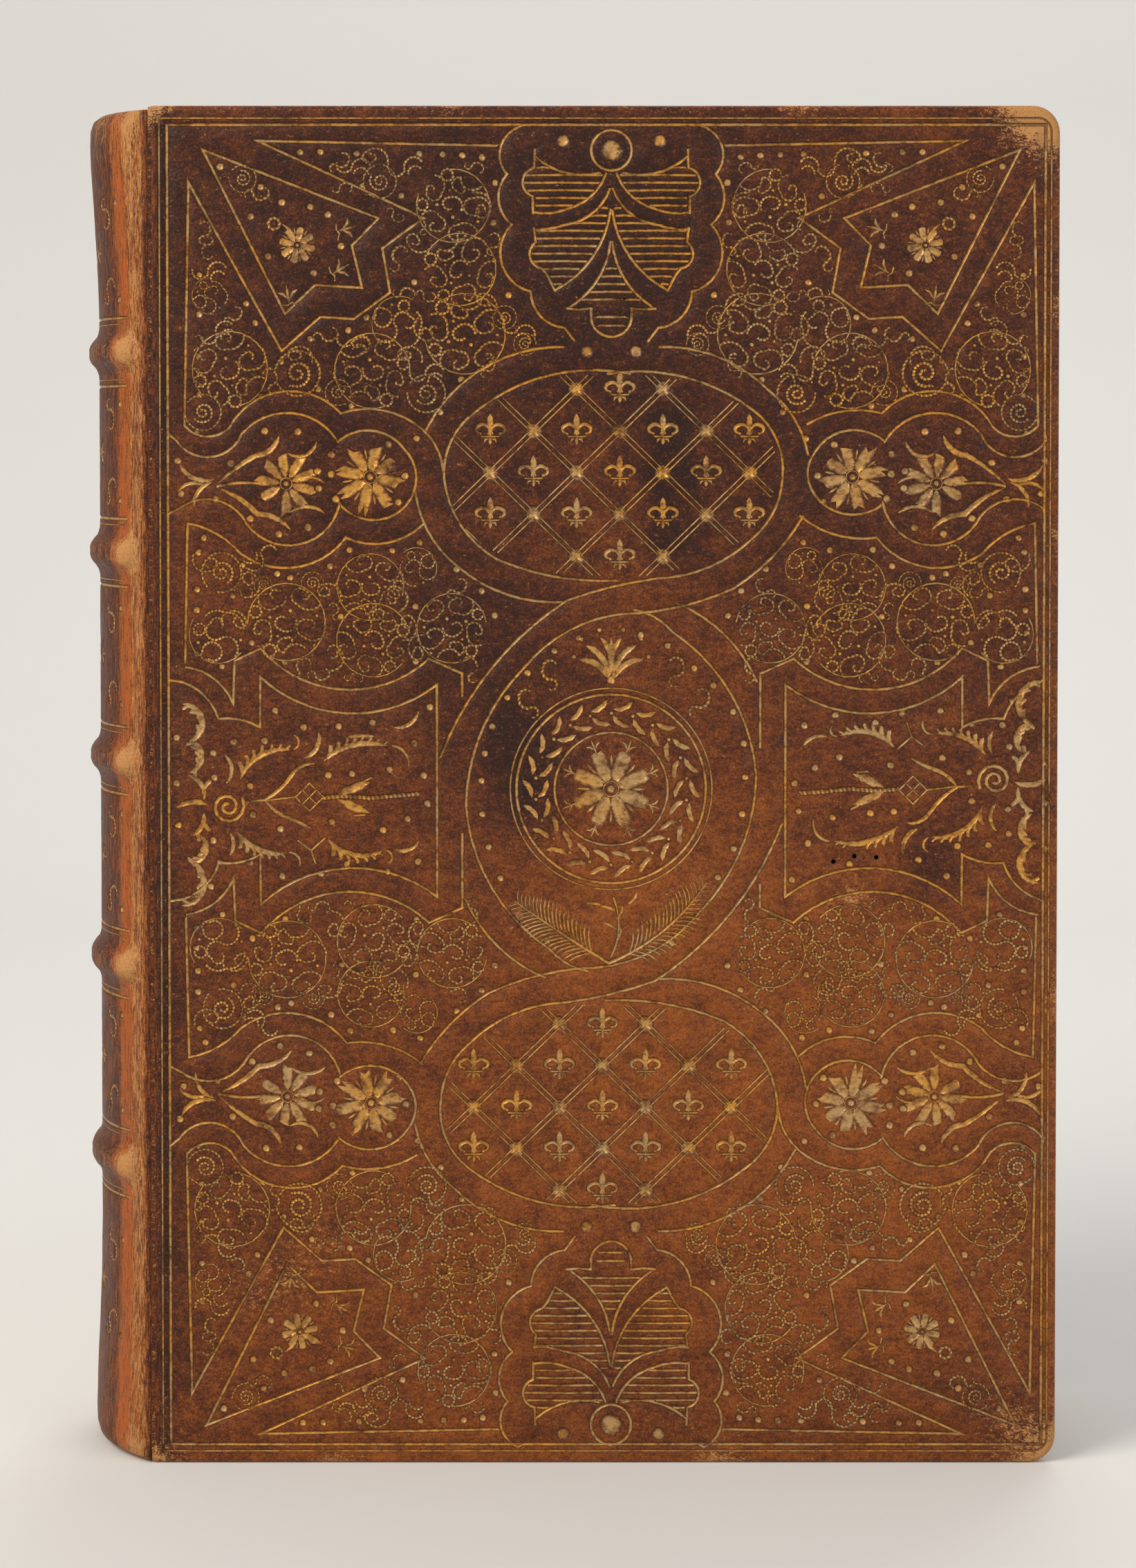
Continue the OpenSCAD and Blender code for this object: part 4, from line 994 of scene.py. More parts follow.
def set_marks(mesh, marks):
    """Writes a mesh's wear and tone, one value of each a vertex."""
    wear = mesh.attributes.new("wear", "FLOAT", "POINT")
    tone = mesh.attributes.new("tone", "FLOAT", "POINT")
    values = np.array([marks(*(v.co / MM)) for v in mesh.vertices], dtype=np.float32)
    wear.data.foreach_set("value", np.ascontiguousarray(values[:, 0]))
    tone.data.foreach_set("value", np.ascontiguousarray(values[:, 1]))


# %% [markdown]
# The gold is real leaf, pressed in by the hot tool: a bright metal, but thin, dulled and rubbed
# through. A furrow's own coordinates say how far a point is from its middle and how far along it is,
# so the gold can stay in the bottom of the furrow, and wheels with a twist or with beads leave theirs.

# %% Gold in the furrows
# in millimetres; the slant is how far the twist moves on for each half width across
BEAD_PITCH, TWIST_PITCH, TWIST_SLANT = 0.95, 1.15, 0.45



def gild(tree, gilding, place, wear, flecks, colour, roughness, height):
    """Lays gold over leather. gilding is "line", "rope" or "beads".

    Gives colour, roughness, height and metal.
    """
    run = add(tree, "SeparateXYZ", {"Vector": add(tree, "UVMap", uv_map="tool_run")})
    across = add(tree, "Math", {0: run.outputs["Y"]}, operation="ABSOLUTE")
    rubbing = add(tree, "TexNoise",
                  {"Vector": place, "Scale": 1 / (5 * MM), "Detail": 6.0, "Roughness": 0.65})
    gone = add(tree, "Math", {0: wear, 1: 0.35, 2: rubbing}, operation="MULTIPLY_ADD")
    leaf_mask = add(tree, "MapRange", {"Value": gone, "From Min": 0.72, "From Max": 0.5})
    # gold stays in the bottom of the furrow and is rubbed off its shoulders
    ragged = add(tree, "Math", {0: flecks, 1: 0.7, 2: across}, operation="MULTIPLY_ADD")
    shoulder = add(tree, "MapRange", {"Value": ragged, "From Min": 1.2, "From Max": 0.85})
    mask = add(tree, "Math", {0: leaf_mask, 1: shoulder}, operation="MULTIPLY")
    if gilding == "beads":
        # each bead is a round of gold, a bead's width from the next
        step = add(tree, "Math", {0: run.outputs["X"], 1: 1 / BEAD_PITCH}, operation="MULTIPLY")
        turn = add(tree, "Math", {0: step}, operation="FRACT")
        centred = add(tree, "Math", {0: turn, 1: 2.0, 2: -1.0}, operation="MULTIPLY_ADD")
        square = add(tree, "Math", {0: centred, 1: centred}, operation="MULTIPLY")
        both = add(tree, "Math", {0: across, 1: across, 2: square}, operation="MULTIPLY_ADD")
        bead = add(tree, "MapRange", {"Value": both, "From Min": 0.95, "From Max": 0.55})
        mask = add(tree, "Math", {0: mask, 1: bead}, operation="MULTIPLY")
        height = add(tree, "Math", {0: bead, 1: 2.2, 2: height}, operation="MULTIPLY_ADD")
    if gilding == "rope":
        # the twist: slanted ridges, a little over a millimetre apart
        slant = add(tree, "Math", {0: run.outputs["Y"], 1: TWIST_SLANT, 2: run.outputs["X"]},
                    operation="MULTIPLY_ADD")
        wave = add(tree, "Math", {0: slant, 1: math.tau / TWIST_PITCH}, operation="MULTIPLY")
        ridge = add(tree, "Math", {0: wave}, operation="SINE")
        strand = add(tree, "MapRange", {"Value": ridge, "From Min": -0.9, "From Max": 0.1, "To Min": 0.25})
        mask = add(tree, "Math", {0: mask, 1: strand}, operation="MULTIPLY")
        height = add(tree, "Math", {0: ridge, 1: 1.2, 2: height}, operation="MULTIPLY_ADD")
    # leaf that has dulled is paler, and dye has crept over it in places
    dulled = add(tree, "TexNoise", {"Vector": place, "Scale": 1 / (24 * MM), "Detail": 3.0})
    dull_mask = add(tree, "MapRange", {"Value": dulled, "From Min": 0.42, "From Max": 0.62})
    gold = add(tree, "Mix", {"Factor": dull_mask, "A": srgb("C68E42"), "B": srgb("B79260")}, data_type="RGBA")
    # where the gold is gone the furrow's leather is darker: partly scorched by the hot tool, partly painted
    # shade in the furrow
    scorched_and_shaded = add(tree, "Mix", {"Factor": 0.55, "A": colour, "B": srgb("3A1B0A")}, data_type="RGBA")
    dyed = add(tree, "MapRange", {"Value": flecks, "From Min": 0.46, "From Max": 0.66, "To Max": 0.8})
    patchy = add(tree, "Mix", {"Factor": dyed, "A": gold, "B": srgb("74471D")}, data_type="RGBA")
    gilt = add(tree, "Mix", {"Factor": mask, "A": scorched_and_shaded, "B": patchy}, data_type="RGBA")
    gilt_rough = add(tree, "Mix", {"Factor": mask, "A": roughness, "B": 0.44})
    metal = add(tree, "Math", {0: mask, 1: 0.5}, operation="MULTIPLY")
    # the tool's hollow: deepest along its middle
    bowl = add(tree, "Math", {0: across, 1: across}, operation="MULTIPLY")
    height = add(tree, "Math", {0: bowl, 1: 4.0, 2: height}, operation="MULTIPLY_ADD")
    return gilt, gilt_rough, height, metal


# %% [markdown]
# Calf has a fine pebbled grain of a half to one millimetre, and a soft mottle where dye and oil have
# moved. A Voronoi pattern gives the grain, and noise gives the mottle, the scuffs and the dust that
# has settled in the pores. Wax and handling leave it half glossy, and it is dull where it is rubbed.

# %% Leather
TONES = ((0.0, "250E05"), (0.22, "431D09"), (0.45, "66310D"), (0.66, "824412"), (0.84, "965019"),
         (1.0, "A84C16"))


def calf(name, gilding=None, drawn=(1.7, 1.7, 1.1), flecking=1.1):
    """Brown calf, under gold if gilding says so.

    drawn is the length in millimetres of its flecks along X, Y and Z, and flecking is how strong they are.
    """
    material, tree, shader = new_material(name)
    place = add(tree, "TexCoord").outputs["Object"]
    wear = add(tree, "Attribute", attribute_name="wear").outputs["Fac"]
    tone = add(tree, "Attribute", attribute_name="tone").outputs["Fac"]
    mottle = add(tree, "TexNoise", {"Vector": place, "Scale": 1 / (9 * MM), "Detail": 7.0, "Roughness": 0.62})
    stretch = add(tree, "Mapping", {"Vector": place, "Scale": tuple(1 / (d * MM) for d in drawn)})
    flecks = add(tree, "TexNoise", {"Vector": stretch, "Scale": 1.0, "Detail": 5.0, "Roughness": 0.65})
    blotches = add(tree, "TexNoise", {"Vector": stretch, "Scale": 0.3, "Detail": 4.0, "Roughness": 0.6})
    grain = add(tree, "TexVoronoi", {"Vector": place, "Scale": 1 / (0.85 * MM)})
    pores = add(tree, "TexNoise", {"Vector": place, "Scale": 1 / (0.5 * MM), "Detail": 3.0})
    creased = add(tree, "Mapping", {"Vector": place, "Scale": tuple(1 / (d * MM) for d in (14, 14, 2.2))})
    creases = add(tree, "TexNoise", {"Vector": creased, "Scale": 1.0, "Detail": 4.0, "Distortion": 0.6})

    # tone runs from nearly black brown to reddish tan, pushed about by the patterns
    toned = tone
    for pattern, share in ((mottle, 0.4), (blotches, 0.5), (flecks, flecking), (pores, 0.9)):
        toned = add(tree, "Math", {0: pattern, 1: share, 2: toned}, operation="MULTIPLY_ADD")
    toned = add(tree, "Math", {0: toned, 1: 0.9 + flecking / 2}, operation="SUBTRACT")
    ramp = add(tree, "ValToRGB", {"Fac": toned})
    stops = ramp.color_ramp.elements
    for k, (at, code) in enumerate((TONES[0], TONES[-1])):
        stops[k].position, stops[k].color = at, srgb(code)
    for at, code in TONES[1:-1]:
        stops.new(at).color = srgb(code)
    dark = add(tree, "MapRange", {"Value": flecks, "From Min": 0.56, "From Max": 0.76, "To Max": 0.75})
    flecked = add(tree, "Mix", {"Factor": dark, "A": ramp, "B": srgb("240E06")}, data_type="RGBA")
    dusty = add(tree, "MapRange", {"Value": flecks, "From Min": 0.40, "From Max": 0.26, "To Max": 0.45})
    dusted = add(tree, "Mix", {"Factor": dusty, "A": flecked, "B": srgb("965424")}, data_type="RGBA")

    # rubbed places show the tan underside through a broken edge
    specks = add(tree, "TexNoise", {"Vector": stretch, "Scale": 2.6, "Detail": 3.0, "Roughness": 0.75})
    rub = add(tree, "Math", {0: specks, 1: 1.5, 2: flecks}, operation="MULTIPLY_ADD")
    rubbed = add(tree, "Math", {0: wear, 1: 0.85, 2: rub}, operation="MULTIPLY_ADD")
    bare = add(tree, "MapRange", {"Value": rubbed, "From Min": 1.5, "From Max": 1.72})
    suede = add(tree, "Mix", {"Factor": pores, "A": srgb("94592B"), "B": srgb("C4965E")}, data_type="RGBA")
    colour = add(tree, "Mix", {"Factor": bare, "A": dusted, "B": suede}, data_type="RGBA")
    waxed = add(tree, "MapRange",
                {"Value": mottle, "From Min": 0.3, "From Max": 0.7, "To Min": 0.42, "To Max": 0.62})
    roughness = add(tree, "Mix", {"Factor": bare, "A": waxed, "B": 0.9})

    # the grain, softened by broader folds, with the height in tenths of a millimetre
    height = 0.0
    for pattern, share in ((grain, 0.55), (pores, 0.45), (creases, 1.3)):
        height = add(tree, "Math", {0: pattern, 1: share, 2: height}, operation="MULTIPLY_ADD")
    if gilding:
        colour, roughness, height, metal = gild(tree, gilding, place, wear, flecks, colour, roughness, height)
        feed(tree, shader, {"Metallic": metal})
    bump = add(tree, "Bump", {"Height": height, "Distance": 0.12 * MM, "Strength": 1.0})
    feed(tree, shader, {"Base Color": colour, "Roughness": roughness, "Normal": bump,
                        "Specular IOR Level": 0.25})
    return material


calf_leather = calf("aged_brown_calf")
tooled_finish = [calf_leather] + [calf(f"gilt_{tool}_on_calf", tool) for tool in ("line", "rope", "beads")]
# on the spine the skin was stretched over the bands, and its scratches and cracks run up and down
SPINE_DRAWN, SPINE_FLECKING = (0.5, 0.5, 4.5), 2.3
spine_calf = calf("spine_calf", None, SPINE_DRAWN, SPINE_FLECKING)
spine_finish = [spine_calf] + [calf(f"gilt_{tool}_on_spine_calf", tool, SPINE_DRAWN, SPINE_FLECKING)
                               for tool in ("line", "rope")]
print("leather:", [m.name for m in tooled_finish + spine_finish])

# %% [markdown]
# The covers, the spine and the joints are pieces of leather that are made in the same way, so they
# share these steps: the faces of a sheet, the finished mesh, and the piece on its body.

# %% Making pieces of a sheet
def lay_sheet(work, verts, sheet, order, smooth):
    """Makes a sheet's faces from its triangles, kinds and corner UVs. order is that of each triangle."""
    run = work.loops.layers.uv.new("tool_run")
    for corners, kind, uv in zip(*sheet):
        face = work.faces.new([verts[corners[k]] for k in order])
        face.material_index, face.smooth = int(kind), smooth
        for loop, k in zip(face.loops, order):
            loop[run].uv = uv[k]


def mesh_of(work, name):
    """A finished bmesh as a mesh."""
    mesh = bpy.data.meshes.new(name)
    work.to_mesh(mesh)
    work.free()
    print(name, len(mesh.polygons), "faces")
    return mesh


def add_piece(name, mesh, materials, body=None):
    """An object of a finished mesh, on its body if it is given."""
    piece = bpy.data.objects.new(name, mesh)
    bpy.context.scene.collection.objects.link(piece)
    for material in materials:
        mesh.materials.append(material)
    if body:
        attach(piece, body)
    return piece


# %% [markdown]
# The sheet is now wrapped over the board. Its rim is drawn out step by step with extrusions: round
# the outer corner, down the edge, round the inner corner, in along the turn-in and back out under
# the face. The face itself isn't quite flat, because old boards never are.

# %% Wrapping a cover
def uneven(x, z):
    """How far the face lies below flat, in millimetres."""
    broad = 0.5 + 0.5 * noise.noise(Vector((x / 60, z / 60, 0.3)))
    fine = 0.5 + 0.5 * noise.noise(Vector((x / 11, z / 11, 5.1)))
    return 0.12 * broad + 0.06 * fine


def cover_leather(name, side):
    """The leather of one cover. side is -1 for the front and 1 for the back."""
    work = bmesh.new()
    face_y = np.array([FACE_Y - d - uneven(x, z) * min(1.0, (FORE_EDGE - x) / 9, z / 9, (TALL - z) / 9)
                       for (x, z), d in zip(sheet_points, sheet_depth)])
    verts = [work.verts.new((x * MM, side * y * MM, z * MM)) for (x, z), y in zip(sheet_points, face_y)]
    lay_sheet(work, verts, (sheet_faces, sheet_kinds, sheet_uv), (0, 1, 2) if side < 0 else (0, 2, 1), True)
    work.normal_update()

    # the rim, in steps of inset and height, all round but for the spine side
    quarter = [math.radians(a) for a in (22.5, 45, 67.5, 90)]
    profile = [(EDGE_R * (1 - math.sin(a)), FACE_Y - EDGE_R * (1 - math.cos(a))) for a in [0] + quarter]
    profile += [(0.0, 29.4)]
    profile += [(EDGE_R * (1 - math.cos(a)), 28.5 - EDGE_R * math.sin(a)) for a in [0] + quarter]
    profile += [(TURN_IN / 2, TURNED_IN_Y), (TURN_IN, TURNED_IN_Y), (TURN_IN, INNER_Y)]
    profile += [(TURN_IN / 2, INNER_Y), (EDGE_SKIN, INNER_Y), (EDGE_SKIN, UNDERSIDE_Y)]
    chain = [verts[int(np.argmin(((sheet_points - at) ** 2).sum(axis=1)))] for at in rim_loop(EDGE_R)]
    for v in chain:
        v.co.y = side * FACE_Y * MM
    ends = [[chain[0]], [chain[-1]]]
    for inset, y in profile[1:]:
        edges = [work.edges.get(pair) for pair in zip(chain, chain[1:])]
        grown = bmesh.ops.extrude_edge_only(work, edges=edges)["geom"]
        copies = {tuple(v.co): v for v in grown if isinstance(v, bmesh.types.BMVert)}
        chain = [copies[tuple(v.co)] for v in chain]
        for v, (x, z) in zip(chain, rim_loop(inset)):
            x = BOARD_SIDE if x < BOARD_SIDE and y < UNDERSIDE_Y else x
            v.co = Vector((x * MM, side * y * MM, z * MM))
        ends[0].append(chain[0])
        ends[1].append(chain[-1])

    # the spine side: the cut edge of the skin, and the skin's underside
    side_chain = sorted((v for v in verts if v.is_valid and abs(v.co.x / MM - SPINE_SIDE) < 0.01),
                        key=lambda v: v.co.z)
    edges = [work.edges.get(pair) for pair in zip(side_chain, side_chain[1:])]
    for x in (SPINE_SIDE, BOARD_SIDE):
        grown = bmesh.ops.extrude_edge_only(work, edges=edges)["geom"]
        edges = [g for g in grown if isinstance(g, bmesh.types.BMEdge)]
        new = sorted((g for g in grown if isinstance(g, bmesh.types.BMVert)), key=lambda v: v.co.z)
        for v in new:
            v.co.x, v.co.y = x * MM, side * UNDERSIDE_Y * MM
        ends[0].append(new[0])
        ends[1].append(new[-1])
    caps = [work.faces.new(end[:-2] + [end[-1], end[-2]]) for end in ends]
    caps.append(work.faces.new(chain + new[::-1]))
    bmesh.ops.triangulate(work, faces=caps, ngon_method="EAR_CLIP")
    bmesh.ops.recalc_face_normals(work, faces=work.faces)
    for face in work.faces:
        face.smooth = True
    print(name, "open edges:", sum(e.is_boundary or not e.is_manifold for e in work.edges))
    mesh = mesh_of(work, name)
    set_marks(mesh, cover_marks)
    return mesh


front_cover = add_piece("front_cover_leather", cover_leather("front_cover_leather", -1), tooled_finish,
                        "front_cover")
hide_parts("front_leather")
back_cover = add_piece("back_cover_leather", cover_leather("back_cover_leather", 1), tooled_finish,
                       "back_cover")
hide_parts("back_leather")

# %% [markdown]
# ## The spine
#
# The spine's leather is moulded over five pairs of cords, which stand out as bands and end in knobs
# beside the joints, where the cords go through into the covers. It flares a little at head and tail,
# and is folded over there as caps. It is laid out flat first, like the covers, and then bent round.

# %% Spine sheet
JOINT_X = -109.05              # places on the joint and the spine's centre are measured from this x
HEAD_END, TAIL_END = 343.0, 8.0
BAND_LINES = ((8.8, 29.5, 0.5, 0.3), (7.2, 28.5, 0.22, 0.15))
spine_r, spine_x = 40.575, 25.575 + JOINT_X
spine_half = 50.92 / 180 * math.pi * spine_r
bands = (77, 129, 182, 236, 288)
panel_ends = (TAIL_END,) + bands + (HEAD_END,)

spine_design = []
for z in bands:
    for away, reach, half, depth in BAND_LINES:
        for at in (z - away, z + away):
            spine_design += stroke([(-reach, at), (0, at), (reach, at)], half, depth)
for low, high in zip(panel_ends, panel_ends[1:]):
    at = (low + high) / 2 + (1.5 if low == TAIL_END else -1.5 if high == HEAD_END else 0)
    spine_design += stamp(flower, 0, at, 0, 0.95)
    for sx in (-1, 1):
        spine_design += stamp(sprig, sx * 12.5, at, -90 * sx, 0.95)
        for sy in (-1, 1):
            spine_design += stamp(hook, sx * 21, at + sy * 9, 90 + sy * 60, 1.15, sx)
            spine_design += stamp(dot, sx * 9, at + sy * 9.5) + stamp(dot, sx * 26.5, at + sy * 12.5, 0, 0.9)
z_low, z_high = 8.5, HEAD_END
across_steps, along_steps = 56, 210
spine_outline = [(-spine_half + 2 * spine_half * k / across_steps, z_low) for k in range(across_steps)]
spine_outline += [(spine_half, z_low + (z_high - z_low) * k / along_steps) for k in range(along_steps)]
spine_outline += [(spine_half - 2 * spine_half * k / across_steps, z_high) for k in range(across_steps)]
spine_outline += [(-spine_half, z_high - (z_high - z_low) * k / along_steps) for k in range(along_steps)]
flat_points, flat_faces, flat_depth, flat_kinds, flat_uv = tooled_sheet(spine_design, spine_outline, 1.15, 11)
print("spine sheet:", len(flat_faces), "triangles")

# %% [markdown]
# The shape that the leather gets: a half round back with the bands, their knobs and the flare.

# %% Spine shape
flare_z = (8.5, 16, 30, 46, 60, 299, 307, 323, 337, 343)
flare = (1.6, 1.4, 0.8, 0.19, 0, 0, 0.26, 1.1, 2.0, 2.2)


def spine_rise(s, z):
    """How far the leather stands out of the plain spine, in millimetres, at s round it and z up."""
    rise = float(np.interp(z, flare_z, flare))
    for band in bands:
        dz = abs(z - band)
        if dz < 9:
            window = min(1.0, max(0.0, (30.8 - abs(s)) / 2.4))
            ridge = math.sqrt(max(0.0, 4.857 ** 2 - dz * dz)) - 2.057
            ridge = max(ridge, 0.85 * math.exp(-((dz - 3.4) / 1.7) ** 2)) - 0.22 * math.exp(-(dz / 0.8) ** 2)
            away = math.hypot(abs(s) - 29.74, dz)
            knob = math.sqrt(max(0.0, 5.2 ** 2 - away * away)) - 2.1
            rise += max(window * window * (3 - 2 * window) * max(ridge, 0), knob,
                        0.5 * math.exp(-((away - 4.4) / 1.3) ** 2))
    rise -= 0.12 * (0.5 + 0.5 * noise.noise(Vector((s / 7, z / 9, 2.0))))
    return rise


def bent(s, z, radius):
    """A place on the spine, from s round it, z up and a radius, trimmed at the joints."""
    a = s / spine_r
    y = min(max(radius * math.sin(a), -31.6), 31.6)
    return Vector(((spine_x - radius * math.cos(a)) * MM, y * MM, z * MM))


def spine_marks(x, y, z):
    """Wear and tone of the spine: rubbed on bands and shoulders, and lighter red-brown beside them, partly
    the leather's colour and partly painted light.
    """
    s = math.atan2(y, spine_x - x) * spine_r
    radius = math.hypot(y, spine_x - x)
    rough = 0.5 + 0.5 * noise.noise(Vector((s / 5, z / 7, 8)))
    out = radius - spine_r
    wear = 0.2 * max(0.0, min(1.0, (out - 1.2) / 1.4)) * (0.6 + rough)
    wear += 0.34 * min(1.0, max(0.0, (abs(s) - 30.2) / 1.6)) * (0.6 + 0.8 * rough)
    for band in bands:
        wear += 0.5 * math.exp(-((abs(s) - 31.0) ** 2 / 9 + (z - band) ** 2 / 22)) * (0.6 + 0.6 * rough)
    wear += 0.5 * (math.exp(-max(0, z) / 4) + math.exp(-max(0, 351 - z) / 4)) * (0.4 + rough)
    # the strip towards the joints is lighter, with a sharp edge: partly the leather's red-brown and partly
    # painted light where the spine turns towards the lamps
    strip = 1 / (1 + math.exp(-(abs(s) - 25.8) / 0.5))
    edge = min(1.0, max(0.0, (abs(s) - 30.6) / 1.5))
    tone = 0.26 + 0.5 * strip * (1 - 0.3 * edge) + 0.1 * math.exp(-z / 80)
    return min(wear, 1), min(max(tone, 0), 1)


# %% [markdown]
# The bent sheet is drawn on over the head, down the inner side and round the tail, and closed there.

# %% Spine leather
work = bmesh.new()
verts = [work.verts.new(bent(s, z, spine_r + spine_rise(s, z) - d))
         for (s, z), d in zip(flat_points, flat_depth)]
lay_sheet(work, verts, (flat_faces, flat_kinds, flat_uv), (0, 2, 1), False)


def nearest(s, z):
    """The sheet's point nearest to a place on the flat spine."""
    return verts[int(np.argmin(((flat_points - (s, z)) ** 2).sum(axis=1)))]


across = [-spine_half + 2 * spine_half * k / across_steps for k in range(across_steps + 1)]
chain = [nearest(s, z_high) for s in across]
tail_row = [nearest(s, z_low) for s in across]
# the head cap, the leather's inner side from head to tail, and the tail cap, as radius and height
cap = [(42.58, 346.5), (41.8, 348.7), (40.2, 349.9), (38.6, 350.1), (36.4, 349.8), (36.5, 349.5)]
cap += [(39.0, 349.4), (39.5, 348.8), (39.5, 346), (39.22, 345), (39.22, 331), (39.57, 329)]
cap += [(39.57, z) for z in range(309, 22, -20)]
cap += [(39.57, 22), (39.22, 20), (39.22, 6), (39.5, 5), (39.5, 2.1), (39.0, 1.5)]
cap += [(36.5, 1.4), (36.4, 0.9), (38.2, 0.6), (39.8, 0.8), (41.3, 2.0), (42.0, 4.5)]
edges = [work.edges.get(pair) for pair in zip(chain, chain[1:])]
for radius, z in cap:
    grown = bmesh.ops.extrude_edge_only(work, edges=edges)["geom"]
    copies = {tuple(v.co): v for v in grown if isinstance(v, bmesh.types.BMVert)}
    chain = [copies[tuple(v.co)] for v in chain]
    edges = [work.edges.get(pair) for pair in zip(chain, chain[1:])]
    for v, s in zip(chain, across):
        v.co = bent(s, z, radius)
tail_edges = [work.edges.get(pair) for pair in zip(tail_row, tail_row[1:])]
bmesh.ops.bridge_loops(work, edges=edges + tail_edges)
ends = bmesh.ops.holes_fill(work, edges=[e for e in work.edges if e.is_boundary], sides=0)["faces"]
bmesh.ops.triangulate(work, faces=ends, ngon_method="EAR_CLIP")
bmesh.ops.recalc_face_normals(work, faces=work.faces)
for face in work.faces:
    face.smooth = True
print("the spine's open edges:", sum(not e.is_manifold for e in work.edges))
spine_mesh = mesh_of(work, "spine_covering")
set_marks(spine_mesh, spine_marks)
spine = add_piece("spine_covering", spine_mesh, spine_finish, "book_block")
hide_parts("spine_leather")

# %% [markdown]
# ## The joints
#
# The leather runs on from the spine into each cover, and is creased where the cover turns. In the
# solid model this narrow strip is open, so that the covers can swing. Here a strip of the same
# leather crosses it.

# %% Joint strips
joint_section = [(-2.39, 29.47), (-1.34, 30.5), (-0.43, 31.32), (0.35, 31.8), (1.0, 31.72)]
joint_section += [(1.55, 31.5), (2.2, 31.8), (3.0, 32.02), (4.4, 31.9), (4.4, 31.5)]
joint_section += [(2.2, 31.3), (1.55, 31.1), (0.5, 31.2), (-0.6, 30.6), (-2.0, 29.3)]
STRIP_START, STRIP_TALL, STRIP_ROWS = 1.4, 348.2, 150


def joint_strip(name, side):
    """The joint's leather, drawn up from tail to head."""
    work = bmesh.new()
    section = [work.verts.new(((u + JOINT_X) * MM, side * y * MM, STRIP_START * MM))
               for u, y in joint_section]
    top = [work.faces.new(section)]
    for k in range(1, STRIP_ROWS + 1):
        grown = bmesh.ops.extrude_face_region(work, geom=top)["geom"]
        if k > 1:
            bmesh.ops.delete(work, geom=top, context="FACES_ONLY")
        top = [g for g in grown if isinstance(g, bmesh.types.BMFace)]
        z = STRIP_START + STRIP_TALL * k / STRIP_ROWS
        for v in top[0].verts:
            v.co.z = z * MM
    for v in work.verts:
        x, y, z = v.co / MM
        crease = noise.noise(Vector((x / 2, z / 5, side)))
        v.co.y -= side * 0.09 * (0.5 + crease) * MM
    bmesh.ops.recalc_face_normals(work, faces=work.faces)
    for face in work.faces:
        face.smooth = len(face.verts) == 4
    return mesh_of(work, name)


def joint_marks(x, y, z):
    """Wear and tone of a joint: rubbed and red on its ridges."""
    rough = 0.5 + 0.5 * noise.noise(Vector((x / 2.5, z / 6, 4)))
    ridge = 1 / (1 + math.exp((x + 108.6) / 0.35))
    return min(1, ridge * 0.34 * (0.6 + 0.8 * rough)), min(1, 0.22 + 0.34 * ridge + 0.15 * rough)


for side, cover in ((-1, "front_cover"), (1, "back_cover")):
    name = cover.replace("_cover", "_joint_leather")
    mesh = joint_strip(name, side)
    set_marks(mesh, joint_marks)
    strip = add_piece(name, mesh, [spine_calf])
    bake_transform(strip)

# %% [markdown]
# ## Leaves, boards and thread
#
# The pieces under the leather keep the solid model's shapes and get their own finishes: rag paper for
# the leaves, pulp board for the covers, parchment over the spine, hemp cords and silk endbands.

# %% Paper and board
def finish(names, material):
    """Gives CAD nodes a material."""
    for name in names:
        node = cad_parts[name]
        thing = node if isinstance(node, bpy.types.Object) else bpy.data.objects[name]
        for slot in thing.material_slots:
            slot.material = material


def rag_paper(name, pale, dark, foxing):
    """Old laid paper: chain lines, a cloudy tone and a few brown spots."""
    material, tree, shader = new_material(name)
    place = add(tree, "TexCoord").outputs["Object"]
    clouds = add(tree, "TexNoise", {"Vector": place, "Scale": 1 / (45 * MM), "Detail": 6.0, "Roughness": 0.6})
    spots = add(tree, "TexVoronoi", {"Vector": place, "Scale": 1 / (21 * MM), "Randomness": 1.0})
    damp = add(tree, "TexNoise", {"Vector": place, "Scale": 1 / (12 * MM), "Detail": 5.0, "Roughness": 0.7})
    size = add(tree, "Math", {0: damp, 1: -0.62, 2: spots}, operation="MULTIPLY_ADD")
    spot = add(tree, "MapRange", {"Value": size, "From Min": -0.16, "From Max": -0.36, "To Max": foxing})
    axes = add(tree, "SeparateXYZ", {"Vector": place})
    laid = add(tree, "Math", {0: axes.outputs["Z"], 1: math.tau / (1.2 * MM)}, operation="MULTIPLY")
    laid = add(tree, "Math", {0: laid}, operation="SINE")
    fibres = add(tree, "TexNoise", {"Vector": place, "Scale": 1 / (0.7 * MM), "Detail": 4.0})
    tone = add(tree, "Mix", {"Factor": clouds, "A": srgb(pale), "B": srgb(dark)}, data_type="RGBA")
    spotted = add(tree, "Mix", {"Factor": spot, "A": tone, "B": srgb("8A5A2C")}, data_type="RGBA")
    height = add(tree, "Math", {0: laid, 1: 0.25, 2: fibres}, operation="MULTIPLY_ADD")
    bump = add(tree, "Bump", {"Height": height, "Distance": 0.04 * MM, "Strength": 0.7})
    feed(tree, shader, {"Base Color": spotted, "Normal": bump, "Roughness": 0.85})
    return material


endpaper = rag_paper("laid_rag_paper", "E2D2AE", "C9B083", 0.6)
finish(["front_flyleaf", "back_flyleaf", "front_pastedown", "back_pastedown"], endpaper)
parchment = rag_paper("glued_parchment", "D2B98A", "A98A5A", 0.3)
finish([f"spine_lining_{k}" for k in range(1, 7)], parchment)
pulp_board = rag_paper("pulp_board", "A48A63", "7E6644", 0.5)
finish(["front_board", "back_board"], pulp_board)

# %% [markdown]
# The block's edges are the edges of some four hundred leaves, sewn in gatherings of about four
# millimetres. They were cut smooth and gilt, and the gold has mostly gone brown and rubbed away.

